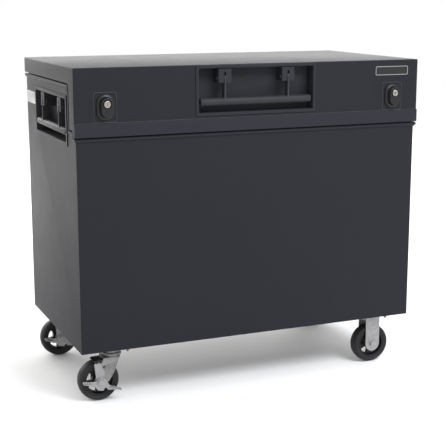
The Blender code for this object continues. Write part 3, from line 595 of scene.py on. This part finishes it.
def lid_band():
    """Thicker lower band of the drop front, with the weld along its upper edge."""
    low = LID_FRONT_Z
    outline = rounded([(FRONT - SKIN, low), (FRONT - SKIN, BAND_TOP_Z - 0.0004),
                       (FRONT - BAND_PROUD, BAND_TOP_Z - 0.0022), (FRONT - BAND_PROUD, low)],
                      [0, 0, 0.0018, 0.0015], 4)
    finished(plate(outline, "X", -LID_X, LID_X), "lid_band", "powder_coat", "lid", angle=28)
    count = 440
    seam = [(-LID_X + 0.004 + (2 * LID_X - 0.008) * i / count, FRONT - 0.0003,
             BAND_TOP_Z + 0.0002 + 0.0001 * math.sin(i * 0.37)) for i in range(count + 1)]
    finished(rippled(seam, 0.0009, 5), "band_weld", "weld", "lid", angle=60)


def weld_outline(side):
    """Ring of weld print round a lock, where its case is fixed behind the sheet."""
    centre = (side * LOCK_X, 1.057)
    ring = rounded_rectangle(centre, 0.040, 0.0505, 0.007, 6)
    points = []
    for i, (x, z) in enumerate(ring):
        following = ring[(i + 1) % len(ring)]
        steps = max(1, round(math.dist((x, z), following) / 0.0028))
        for k in range(steps):
            t = k / steps
            wave = 0.00012 * math.sin(len(points) * 0.9)
            points.append((x + (following[0] - x) * t + wave, FRONT - 0.0001,
                           z + (following[1] - z) * t - wave))
    bead = rippled(points, 0.0010, 11 + side, closed=True)
    finished(bead, WORD[side] + "_lock_weld", "weld", "lid", angle=60)


# ---------------------------------------------------------------- recessed drop handles
def handle_pan(word):
    """Pressed tray with rounded edges, and two folded pivot housings welded in."""
    size, place, body = HANDLES[word]
    low, high = size["low"] - size["pivot"], size["high"] - size["pivot"]
    centre = (0, (low + high) / 2)
    flange = size["flange"]

    def ring(grow, y):
        outline = rounded_rectangle(centre, size["half_width"] + grow, (high - low) / 2 + grow,
                                    max(0.0010, PAN_CORNER - PAN_SHEET + min(grow, 0.0025)), 5)
        return [(x, y, z) for x, z in outline]

    outside = arc((PAN_SHEET - 0.005, PAN_DEPTH + PAN_SHEET - 0.005), 0.005, 90, 0, 4)
    lip = arc((0.0006, 0.0006 - PAN_PROUD), 0.0006, 270, 180, 2)
    border = arc((flange - 0.0006, 0.0006 - PAN_PROUD), 0.0006, 0, -90, 2)
    floor = arc((-0.002, PAN_DEPTH - 0.002), 0.002, 0, 90, 3)
    profile = [*outside, (PAN_SHEET, -SKIN), (flange, -SKIN), *border, *lip, *floor]
    tray = loft([ring(grow, y) for grow, y in profile])
    blocks, cuts = [], []
    foot, head = size["housing_low"] - size["pivot"], size["housing_high"] - size["pivot"]
    for x in (-size["arms"], size["arms"]):
        face = rounded([(x - HOUSING_HALF, PAN_DEPTH + 0.001), (x - HOUSING_HALF, -HOUSING_PROUD),
                        (x + HOUSING_HALF, -HOUSING_PROUD), (x + HOUSING_HALF, PAN_DEPTH + 0.001)],
                       [0, 0.0035, 0.0035, 0], 5)
        blocks.append(plate(face, "Z", foot, head))
        cuts.append(box((x - HOUSING_HALF + 0.0025, x + HOUSING_HALF - 0.0025),
                        (0.0025 - HOUSING_PROUD, PAN_DEPTH - 0.0008), (foot - 0.01, head - 0.0025)))
        slot = [(x - SLOT_HALF, foot - 0.01), *arc((x, SLOT_RISE - SLOT_HALF), SLOT_HALF, 180, 0, 8),
                (x + SLOT_HALF, foot - 0.01)]
        cuts.append(plate(slot, "Y", -0.01, 0.01))
        cuts.append(rod("X", (x, HANDLE_INSET, 0), PIN_R + 0.0004, -0.03, 0.03, 20))
    pan = combined(tray, blocks, cuts)
    pan.data.transform(place)
    # the tray wears the lighter copy of the coat, painted fill light in the recess
    finished(pan, word + "_pan_pressed", "pan_coat_painted_fill", body, (word + "_handle_pan",), 0.0006, 40)
    for side in (-1, 1):
        welds = []
        for edge in (-1, 1):
            x = side * size["arms"] + edge * (HOUSING_HALF + 0.0004)
            welds.append([(x, PAN_DEPTH - 0.0004, foot + (head - foot) * i / 18) for i in range(19)])
        for number, points in enumerate(welds):
            bead = rippled(points, 0.0018, 31 + number + side)
            bead.data.transform(place)
            name = word + "_housing_weld_" + ("low", "high")[side > 0] + "_" + str(number + 1)
            finished(bead, name, "pan_coat_painted_fill", body, angle=60)


def drop_handle(word):
    """Tube with capped ends on two coped arms, welded on, and the headed pins."""
    size, place, _ = HANDLES[word]
    axis = (0, HANDLE_INSET, -HANDLE_DROP)
    half = size["tube"]
    end = [(0, 0), (TUBE_R - 0.0045, 0), (TUBE_R - 0.0022, 0.0006), (TUBE_R - 0.0007, 0.0020),
           (TUBE_R, 0.0045)]
    profile = [(r, h - half) for r, h in end] + [(r, half - h) for r, h in reversed(end)]
    tube = turned(profile, "X", axis)
    cope_r = (TUBE_R + TUBE_BORE_R) / 2
    tilt = math.degrees(math.acos(ARM_R / cope_r))
    outline = [*arc((HANDLE_INSET, 0), ARM_R, 0, 180, 18),
               *arc((HANDLE_INSET, -HANDLE_DROP), cope_r, 180 - tilt, tilt, 8)]
    parts = []
    for x in (-size["arms"], size["arms"]):
        parts.append(plate(outline, "X", x - ARM_THICKNESS / 2, x + ARM_THICKNESS / 2))
        reach = HOUSING_HALF + 0.0005 + PIN_HEAD
        neck = reach - PIN_HEAD
        pin = [(0, -reach), (PIN_HEAD_R - 0.0012, -reach), (PIN_HEAD_R, 0.001 - reach),
               (PIN_HEAD_R, -neck), (PIN_R, -neck), (PIN_R, neck), (PIN_HEAD_R, neck),
               (PIN_HEAD_R, reach - 0.001), (PIN_HEAD_R - 0.0012, reach), (0, reach)]
        parts.append(turned(pin, "X", (x, HANDLE_INSET, 0), 24))
    handle = combined(tube, parts)
    handle.data.transform(place)
    # the tube and arms wear the lighter copy of the coat, a painted highlight
    finished(handle, word + "_bar", "bar_coat_painted_highlight", word + "_grip", (word + "_handle",), 0.0006, 40)
    for side in (-1, 1):
        for edge in (-1, 1):
            x = side * size["arms"] + edge * (ARM_THICKNESS / 2 + 0.0006)
            points = [(x, HANDLE_INSET + a, -HANDLE_DROP + b)
                      for a, b in arc((0, 0), TUBE_R + 0.0004, 28, 152, 22)]
            bead = rippled(points, 0.0017, 71 + edge + 4 * side)
            bead.data.transform(place)
            name = word + "_arm_weld_" + ("low", "high")[side > 0] + "_" + str((edge + 3) // 2)
            finished(bead, name, "bar_coat_painted_highlight", word + "_grip", angle=60)


# ---------------------------------------------------------------- locks, badge and label
def lock(side):
    """Moulded shroud round the key barrel, and the barrel with its guard ring and keyway."""
    word = WORD[side]
    x = side * LOCK_X

    def oval(half_width, half_height, proud):
        top = arc((x, SHROUD_Z + half_height - half_width), half_width, 0, 180, 20)
        bottom = arc((x, SHROUD_Z - half_height + half_width), half_width, 180, 360, 20)
        return [(a, FRONT - proud, b) for a, b in (*top, *bottom)]

    steps = [(0.0, SKIN), (0.0, 0.0045), (0.0004, 0.0056), (0.0014, 0.0066), (0.0030, 0.0074),
             (0.0062, 0.0078), (0.0076, 0.0086), (0.0084, 0.0102), (0.0108, 0.0232), (0.0114, 0.0246),
             (0.0126, 0.0254), (0.0140, 0.0255)]
    boss = loft([oval(0.0315 - inset, 0.044 - inset, proud) for inset, proud in steps])
    bore = rod("Y", (x, FRONT, BARREL_Z), BARREL_R + 0.0006, -0.04, 0.02, 48)
    sink = turned([(0, -0.03), (0.0165, -0.03), (0.0160, -0.0262), (0.0125, -0.0215), (0, -0.0215)], "Y",
                  (x, FRONT, BARREL_Z))
    finished(combined(boss, cuts=[bore, sink]), word + "_shroud", "black_coat", "lid",
             (word + "_lock_shroud",), angle=24)
    profile = [(0, 0.0105), (BARREL_R, 0.0105), (BARREL_R, 0.0012 - LOCK_PROUD),
               (BARREL_R - 0.0004, 0.0004 - LOCK_PROUD), (BARREL_R - 0.0012, -LOCK_PROUD),
               (BARREL_R - 0.0026, -LOCK_PROUD), (BARREL_R - 0.0032, 0.0010 - LOCK_PROUD),
               (BARREL_R - 0.0040, 0.0010 - LOCK_PROUD), (BARREL_R - 0.0044, 0.0004 - LOCK_PROUD),
               (0, 0.0004 - LOCK_PROUD)]
    barrel = turned(profile, "Y", (x, FRONT, BARREL_Z))
    keyway = plate(rounded([(x - 0.0011, BARREL_Z - 0.0045), (x + 0.0011, BARREL_Z - 0.0045),
                            (x + 0.0011, BARREL_Z + 0.0045), (x - 0.0011, BARREL_Z + 0.0045)], 0.0008),
                   "Y", FRONT - 0.03, FRONT - 0.018)
    finished(combined(barrel, cuts=[keyway]), word + "_key_face", "chrome", word + "_barrel",
             (word + "_lock_barrel",), angle=30)


def badge():
    """Blank badge: a domed black plate with a light border."""
    low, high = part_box("badge_plate")
    centre = ((low.x + high.x) / 2, (low.z + high.z) / 2)
    half_x, half_z = (high.x - low.x) / 2, (high.z - low.z) / 2

    def ring(inset, proud, radius=0.005):
        outline = rounded_rectangle(centre, half_x - inset, half_z - inset, radius - inset * 0.8)
        return [(x, FRONT - proud, z) for x, z in outline]

    base = loft([ring(0, SKIN), ring(0, 0.0008), ring(0.0003, 0.0012), ring(0.0040, 0.0014)])
    finished(base, "badge_face", "badge", "lid", ("badge_plate",), angle=50)
    frame_loops = [ring(0.0007, 0.0011), ring(0.0008, 0.0017), ring(0.0012, 0.0018),
                   ring(0.0026, 0.0018), ring(0.0030, 0.0012)]
    finished(loft(frame_loops, closed=True), "badge_border", "border", "lid", angle=50)


def side_label():
    """Blank label on the left side, between the handle pan and the back."""
    centre = (0.2855, 1.0427)
    outline = rounded_rectangle(centre, 0.0700, 0.0223, 0.004)
    inner = rounded_rectangle(centre, 0.0696, 0.0219, 0.0038)
    loops = [[(-BODY_X - SKIN, y, z) for y, z in outline], [(-BODY_X - 0.0004, y, z) for y, z in inner]]
    finished(loft(loops), "side_label", "label", "chest", angle=50)


def side_rivet(side):
    """Head of the rivet that holds the strut's bracket behind the side panel."""
    profile = [(0, -0.0005), (0.0042, -0.0005), (0.0042, 0.0003), (0.0032, 0.0012), (0.0014, 0.0017),
               (0, 0.0018)]
    place = (side * BODY_X, -0.229, 1.1105)
    head = turned([(r, side * h) for r, h in profile], "X", place, 24)
    finished(head, WORD[side] + "_side_rivet", "powder_coat", "chest", angle=40)


# ---------------------------------------------------------------- casters
def tyre(name, centre, body):
    """Rubber tread with rounded shoulders, a crown and the mould's fine lines."""
    half = [(0.0553, 0.0205), (0.0562, 0.0215), (0.0600, 0.0224), (0.0650, 0.0230), (0.0654, 0.0236),
            (0.0660, 0.0230), (0.0685, 0.0222), (0.0708, 0.0202), (0.0726, 0.0172), (0.0738, 0.0130),
            (0.0746, 0.0080), (WHEEL_R, 0.0020), (WHEEL_R, 0.0004)]
    profile = [(r, -h) for r, h in half] + [(r, h) for r, h in reversed(half)]
    finished(turned(profile, "Y", centre, 96), name + "_tread", "rubber", body, (name + "_tyre",),
             angle=50)


def wheel_core(name, centre, body):
    """Cast core: flanged rim, five spokes with rounded windows, and a hub with its bearing face."""
    x, y, z = centre
    windows = []
    for i in range(5):
        middle = 90 + 72 * i
        corners = (arc((x, z), 0.0450, middle - 23, middle + 23, 3)
                   + arc((x, z), 0.0240, middle + 15, middle - 15, 1))
        windows.append(rounded(corners, [0.006, 0, 0, 0.006, 0.005, 0.005], 4))
    web = plate(circle((x, z), 0.0525, 72), "Y", y - 0.007, y + 0.007, windows)
    rim = turned([(0.0480, -0.0185), (0.0490, -0.0205), (0.0548, -0.0205), (0.0550, -0.0195),
                  (0.0550, 0.0195), (0.0548, 0.0205), (0.0490, 0.0205), (0.0480, 0.0185)],
                 "Y", centre, 96)
    hub = turned([(0, -0.0255), (0.0150, -0.0255), (0.0166, -0.0245), (0.0190, -0.0070),
                  (0.0190, 0.0070), (0.0166, 0.0245), (0.0150, 0.0255), (0, 0.0255)], "Y", centre)
    bore = rod("Y", centre, AXLE_BORE_R, -0.04, 0.04)
    finished(combined(web, [rim, hub], [bore]), name + "_casting", "wheel_core", body, (name + "_core",),
             0.0012, 40)


def axle(name, centre, outer, body):
    """Hexagon bolt through the fork, with washer, lock nut and a stub of thread."""
    head = hexagon("Y", centre, 0.0108, outer - 0.0092, outer - 0.0018)
    washer = turned([(0, outer - 0.0018), (0.0126, outer - 0.0018), (0.0130, outer - 0.0014),
                     (0.0130, outer - SKIN), (0, outer - SKIN)], "Y", centre)
    dome = turned([(0, outer - 0.0094), (0.0050, outer - 0.0093), (0.0074, outer - 0.0088),
                   (0.0074, outer - 0.0060), (0, outer - 0.0060)], "Y", centre)
    shank = rod("Y", centre, AXLE_R, outer - 0.001, LEG_OUT + 0.002)
    nut = hexagon("Y", centre, 0.0105, LEG_OUT + SKIN, LEG_OUT + 0.0075)
    stub = turned([(0, LEG_OUT + 0.005), (AXLE_R, LEG_OUT + 0.005), (AXLE_R, LEG_OUT + 0.0084),
                   (0.0052, LEG_OUT + 0.009), (0, LEG_OUT + 0.009)], "Y", centre)
    bolt = combined(shank, [washer, head, dome, nut, stub])
    finished(bolt, name + "_bolt", "zinc_painted_light", body, (name + "_axle",), angle=28)


def thread(x, y, low, high, radius):
    """A threaded bolt end: a turned rod with a wavy flank."""
    pitch, depth = 0.00075, 0.0006
    count = max(4, round((high - low) / pitch) * 2)
    flank = [(radius - (depth if i % 2 else 0), low + 0.0005 + (high - low - 0.0005) * i / count)
             for i in range(count + 1)]
    return turned([(0, low), (radius - 0.0012, low), *flank, (0, high)], "Z", (x, y, 0), 24)


def mounting_plate(name, x, y):
    """Caster top plate with its nuts, washers and bolt ends."""
    top = BASE_Z - GAP
    base = plate(rounded_rectangle((x, y), PLATE_X, PLATE_Y, 0.009), "Z", top - PLATE_T, top)
    finished(base, name + "_mounting", "zinc", "chest", bevel=0.0008, angle=40)
    for number, (dx, dy) in enumerate(((-1, -1), (1, -1), (-1, 1), (1, 1))):
        place = (x + dx * BOLT_X, y + dy * BOLT_Y, 0)
        nut = hexagon("Z", place, 0.0074, 0.1838, 0.1887)
        washer = turned([(0, 0.1886), (0.0086, 0.1886), (0.0090, 0.1890), (0.0090, 0.1900), (0, 0.1900)],
                        "Z", place)
        end = thread(place[0], place[1], 0.1790, 0.1840, 0.0040)
        finished(combined(nut, [washer, end]), f"{name}_fixing_{number + 1}", "zinc", "chest", angle=28)


def rigid_caster(word):
    x, y = CASTER_X, CASTER_Y[word]
    centre = (x, y, WHEEL_R)
    name = word + "_rigid"
    mounting_plate(name, x, y)
    half, rib_z = 0.030, 0.142          # a cheek's half-width, the middle of its pressed rib
    outline = [(x + half, 0.1860), *arc((x + 0.0265, 0.1885), 0.0020, 0, 90, 3),
               *arc((x - 0.0265, 0.1885), 0.0020, 90, 180, 3), (x - half, 0.1860),
               *arc((x, 0.0765), half, 180, 360, 32)]
    legs = []
    for side in (-1, 1):
        low, high = sorted((side * LEG_IN, side * LEG_OUT))
        bore = circle((x, WHEEL_R), AXLE_BORE_R)
        cheek = plate(outline, "Y", y + low, y + high, [bore])
        rib = rounded([(x - 0.0150, 0.108), (x + 0.0150, 0.108),
                       (x + 0.0190, 0.176), (x - 0.0190, 0.176)], 0.008)
        press = loft([[(a, y + side * LEG_OUT, b) for a, b in rib],
                      [(x + (a - x) * 0.86, y + side * (LEG_OUT + 0.0011), rib_z + (b - rib_z) * 0.92)
                       for a, b in rib]])
        legs.append(combined(cheek, [press]))
        fillet = [(y + side * LEG_OUT, 0.1850), (y + side * (LEG_OUT + 0.0045), 0.1903),
                  (y + side * LEG_IN, 0.1903), (y + side * LEG_IN, 0.1850)]
        legs.append(plate(rounded(fillet, [0.003, 0, 0, 0]), "X", x - half, x + half))
    fork = combined(legs[0], legs[1:])
    # the rigid cheeks wear the lighter copy of the zinc, painted light from the right
    finished(fork, name + "_cheeks", "zinc_painted_light", "chest", (name + "_fork",), 0.0007, 40)
    axle(name, centre, -LEG_OUT, "chest")
    wheel_core(name, centre, name + "_wheel")
    tyre(name, centre, name + "_wheel")


def swivel_head(word, x, y):
    """Fixed plate with the upper raceway and the kingpin."""
    name = word + "_swivel"
    mounting_plate(name, x, y)
    raceway = [(0, 0.1757), (0.0300, 0.1757), (0.0318, 0.1763), (0.0336, 0.1785), (0.0343, 0.1815),
               (0.0343, 0.1880), (0.0356, 0.1903), (0, 0.1903)]
    kingpin = [(0, 0.1482), (0.0105, 0.1482), (0.0122, 0.1492), (0.0125, 0.1505), (0.0125, 0.1560),
               (0.008, 0.1560), (0.008, 0.180), (0, 0.180)]
    head = combined(turned(raceway, "Z", (x, y, 0), 72), [turned(kingpin, "Z", (x, y, 0), 32)])
    finished(head, name + "_raceway", "zinc", "chest", (name + "_plate",), angle=26)


def swivel_fork(word, x, y):
    """Pressed fork: raceway cup, rounded crown and two raked cheeks with their pivot eyes."""
    axle_x = x - TRAIL
    shoulder = [(x - 0.036, 0.1605), (x + 0.0235, 0.1605), (x + 0.0175, 0.150), (x + 0.0025, 0.107),
                (x - 0.020, 0.070)]
    front = [(x - 0.0715, 0.084), (x - 0.058, 0.114), (x - 0.0475, 0.140)]
    heel = arc((axle_x, WHEEL_R), 0.020, -45, -160, 12)
    corner = [0.004, 0.004, 0.006, 0.012, 0.012] + [0] * len(heel) + [0.010, 0.016, 0.014]
    outline = rounded([*shoulder, *heel, *front], corner, 5)
    holes = [circle((axle_x, WHEEL_R), AXLE_BORE_R), circle((x - 0.037, 0.128), 0.0040, 18)]
    cheeks = [plate(outline, "Y", y + low, y + high, holes)
              for low, high in ((-LEG_OUT, -LEG_IN), (LEG_IN, LEG_OUT))]
    crown_outline = rounded([(y - LEG_OUT - 0.0005, 0.1565), (y + LEG_OUT + 0.0005, 0.1565),
                             (y + LEG_OUT + 0.0005, 0.1610), (y - LEG_OUT - 0.0005, 0.1610)],
                            [0.001, 0.001, 0.0035, 0.0035])
    crown = plate(crown_outline, "X", x - 0.038, x + 0.0235)
    cup = [(0, 0.160), (0.0290, 0.1600), (0.0315, 0.1612), (0.0342, 0.1640), (0.0355, 0.1668),
           (0.0355, 0.1702), (0.0346, 0.1730), (0.0328, 0.1752), (0.0300, 0.1754), (0, 0.1752)]
    bore = rod("Z", (x, y, 0), 0.0086, 0.15, 0.19)
    fork = combined(crown, [*cheeks, turned(cup, "Z", (x, y, 0), 72)], [bore])
    finished(fork, word + "_swivel_yoke", "zinc", word + "_fork", (word + "_swivel_fork",), 0.0007, 34)


def brake_strap(word, centre):
    """Plated strap beside the wheel, the black shoe over the tread, and their rivets."""
    x, y, z = centre
    face = y - LEG_OUT - 0.0033
    body = word + "_strap"
    outline = [(x + 0.0135, z - 0.004), (x + 0.016, z + 0.010), (x + 0.016, z + 0.041),
               (x + 0.006, z + 0.052), (x + 0.003, z + 0.0685), (x - 0.0222, z + 0.0665),
               (x - 0.0155, z + 0.014), (x - 0.0150, z - 0.004)]
    outline += arc((x - 0.0008, z - 0.004), 0.0142, 180, 360, 14)[1:-1]
    radii = [0.003, 0.006, 0.006, 0.006, 0.002, 0.002, 0.006, 0.003] + [0] * 13
    slot = circle((x, z), 0.009)
    strap = plate(rounded(outline, radii), "Y", face, y - LEG_OUT - GAP, [slot])
    finished(strap, body + "_plate", "zinc_painted_light", body, (word + "_brake_strap",), 0.0006, 40)
    sector = arc((x, z), 0.0777, 84, 107, 12) + arc((x, z), 0.0813, 107, 84, 12)
    saddle = plate(rounded(sector, 0.0008, 2), "Y", face, y + 0.020)
    shoulder = [(x + 0.0035, z + 0.0705), (x - 0.0215, z + 0.0685), *arc((x, z), 0.0800, 106, 85, 8)]
    cheek = plate(rounded(shoulder, 0.002, 3), "Y", face - 0.0004, face + 0.0024)
    finished(combined(saddle, [cheek]), body + "_shoe", "black_coat", body, bevel=0.0006, angle=40)
    spots = [(-0.0165, 0.0668, 0.0026), (-0.0055, 0.0690, 0.0030), (-0.0010, 0.0292, 0.0032)]
    for number, (dx, dz, radius) in enumerate(spots):
        rivet = turned([(0, -0.0022), (radius * 0.6, -0.0020), (radius, -0.0012), (radius, 0.0006),
                        (0, 0.0006)], "Y", (x + dx, face - (0.0004 if number < 2 else 0), z + dz), 24)
        finished(rivet, f"{body}_rivet_{number + 1}", "zinc_painted_light", body, angle=40)


def brake_lever(word, centre):
    """Cam pedal with a turned-out tread on each arm."""
    x, y, z = centre
    body = word + "_lever"
    outline = [
        (0.0300, -0.0120), (0.0345, -0.0170), (0.0605, -0.0256), (0.0715, -0.0291), (0.0784, -0.0354),
        (0.0764, -0.0393), (0.0640, -0.0370), (0.0268, -0.0329), (0.0168, -0.0207), (0.0115, -0.0284),
        (0.0108, -0.0335), (-0.0103, -0.0304), (-0.0183, -0.0192), (-0.0220, -0.0151),
        (-0.0328, -0.0155), (-0.0478, -0.0069), (-0.0630, -0.0035), (-0.0670, 0.0040), (-0.0630, 0.0090),
        (-0.0475, 0.0053), (-0.0222, 0.0037), *arc((0.0030, -0.0050), 0.021, 150, 10, 18),
    ]
    radii = [0.004] * 21 + [0] * 19
    bore = circle((x, z), AXLE_BORE_R)
    face = y - LEG_OUT - 0.0040
    shape = [(x + a, z + b) for a, b in rounded(outline, radii, 3)]
    pedal = plate(shape, "Y", face - 0.0036, face, [bore])
    flaps = [
        [(0.0360, -0.0225), (0.0720, -0.0370), (0.0735, -0.0345), (0.0375, -0.0200)],
        [(-0.0610, -0.0005), (-0.0340, -0.0062), (-0.0335, -0.0036), (-0.0605, 0.0022)],
    ]
    treads = [plate([(x + a, z + b) for a, b in flap], "Y", face - 0.0150, face - 0.001)
              for flap in flaps]
    finished(combined(pedal, treads), body + "_pedal", "zinc_painted_light", body, (word + "_brake_lever",),
             0.0009, 40)


def swivel_caster(word):
    x, y = -CASTER_X, CASTER_Y[word]
    name = word + "_swivel"
    centre = (x - TRAIL, y, WHEEL_R)
    swivel_head(word, x, y)
    swivel_fork(word, x, y)
    axle(name, centre, -LEG_OUT - 0.0079, word + "_fork")
    wheel_core(name, centre, name + "_wheel")
    tyre(name, centre, name + "_wheel")
    brake_strap(word, centre)
    brake_lever(word, centre)


# ---------------------------------------------------------------- hinge
def hinge():
    """Leaves with full round knuckles on the pin, and the rivets that hold them."""
    y, z = HINGE_Y, HINGE_Z
    start, pitch = -HINGE_LENGTH / 2, HINGE_LENGTH / KNUCKLES
    first_rivet, rivet_pitch, rivets = -0.567, 0.126, 10
    for word, first, reach, body in (("body", 0, -LEAF_REACH, "chest"), ("lid", 1, LEAF_REACH, "lid")):
        clear = math.copysign(LEAF_CLEAR, reach)
        edge, knuckles = [], []
        for i in range(KNUCKLES):
            left, right = start + i * pitch + GAP, start + (i + 1) * pitch - GAP
            own = i % 2 == first
            height = z if own else z + clear
            edge += [(left if own else left - 2 * GAP, height),
                     (right if own else right + 2 * GAP, height)]
            if own:
                profile = [(KNUCKLE_BORE_R, left), (KNUCKLE_R - 0.0004, left),
                           (KNUCKLE_R, left + 0.0004), (KNUCKLE_R, right - 0.0004),
                           (KNUCKLE_R - 0.0004, right), (KNUCKLE_BORE_R, right)]
                knuckles.append(turned(profile, "X", (0, y, z), 28))
        outline = [*edge, (edge[-1][0], z + reach), (edge[0][0], z + reach)]
        leaf = plate(outline, "Y", BACK + GAP, BACK + GAP + LEAF_T)
        channel = rod("X", (0, y, z), KNUCKLE_BORE_R, -0.7, 0.7, 28)
        finished(combined(leaf, knuckles, [channel]), f"hinge_{word}_strap", "powder_coat", body,
                 (f"hinge_{word}_leaf",), 0.0004, 40)
        for i in range(rivets):
            place = (first_rivet + rivet_pitch * i, BACK + GAP + LEAF_T, z + reach * 0.62)
            head = turned([(0, -0.0005), (0.0052, -0.0005), (0.0052, 0.0002), (0.0040, 0.0014),
                           (0.0018, 0.0020), (0, 0.0021)], "Y", place, 28)
            finished(head, f"hinge_{word}_rivet_{i + 1}", "powder_coat", body, angle=40)


# ---------------------------------------------------------------- what stays from the CAD
def keep_cad_nodes():
    """Finishes and edge radii for the CAD nodes that are shown as they are."""
    slots = {row["node"]: row["material_slot"] for row in frame["record"]["subparts"]}
    for name, obj in frame["nodes"].items():
        obj.data.materials.clear()
        obj.data.materials.append(FINISH[slots[name]])
        if obj.hide_render:
            continue
        weld = obj.modifiers.new("weld", "WELD")
        weld.merge_threshold = 0.00001
        flat = obj.modifiers.new("flat", "DECIMATE")
        flat.decimate_type = "DISSOLVE"
        flat.angle_limit = math.radians(0.5)
        edges = obj.modifiers.new("edges", "BEVEL")
        edges.width = 0.0005
        edges.segments = 2
        edges.limit_method = "ANGLE"
        edges.angle_limit = math.radians(40)


# ---------------------------------------------------------------- studio
def area_light(name, place, target, size, power, colour):
    light = bpy.data.lights.new(name, "AREA")
    light.shape = "RECTANGLE"
    light.size, light.size_y = size
    light.energy = power
    light.color = colour
    lamp = bpy.data.objects.new(name, light)
    lamp.location = place
    lamp.rotation_euler = (Vector(target) - Vector(place)).to_track_quat("-Z", "Y").to_euler()
    bpy.context.scene.collection.objects.link(lamp)


def studio():
    world = bpy.data.worlds.new("studio")
    world.use_nodes = True
    sky = world.node_tree.nodes["Background"]
    sky.inputs["Color"].default_value = (1.0, 1.0, 1.0, 1.0)
    sky.inputs["Strength"].default_value = 1.08
    bpy.context.scene.world = world
    half = 400
    floor = plate([(-half, -half), (half, -half), (half, half), (-half, half)], "Z", -0.02, 0)
    floor.name = "floor"
    floor.data.materials.append(surface("floor", (0.93, 0.93, 0.93), 0.75, cloud=(3.0, 0.005),
                                        grain=(0.01, 0.00002), specular=0.2))
    area_light("front", (0.9, -2.7, 3.1), (0.3, -0.9, 0.5), (2.0, 1.4), 105, (0.93, 0.96, 1.0))
    area_light("side", (-2.4, 5.0, 1.9), (-2.2, 4.6, 0), (4.0, 3.0), 185, (1.0, 0.97, 0.93))
    area_light("back", (1.8, 7.0, 2.4), (0, 0, 1.2), (9.0, 2.4), 240, (1.0, 1.0, 1.0))
    camera = bpy.data.cameras.new("camera")
    camera.lens = 89.3
    camera.sensor_width = 36
    eye = bpy.data.objects.new("camera", camera)
    eye.location = (-1.638, -3.9185, 1.435)
    look = Vector((0.38055, 0.90201, -0.20384))
    eye.rotation_euler = look.to_track_quat("-Z", "Y").to_euler()
    bpy.context.scene.collection.objects.link(eye)
    bpy.context.scene.camera = eye
    bpy.context.scene.view_settings.view_transform = "Standard"


body_shell()
body_rim()
lid_shell()
lid_band()
for handle_word in HANDLES:
    handle_pan(handle_word)
    drop_handle(handle_word)
for lock_side in (-1, 1):
    weld_outline(lock_side)
    lock(lock_side)
badge()
side_label()
for rivet_side in (-1, 1):
    side_rivet(rivet_side)
hinge()
for caster_word in CASTER_Y:
    rigid_caster(caster_word)
    swivel_caster(caster_word)
keep_cad_nodes()
studio()
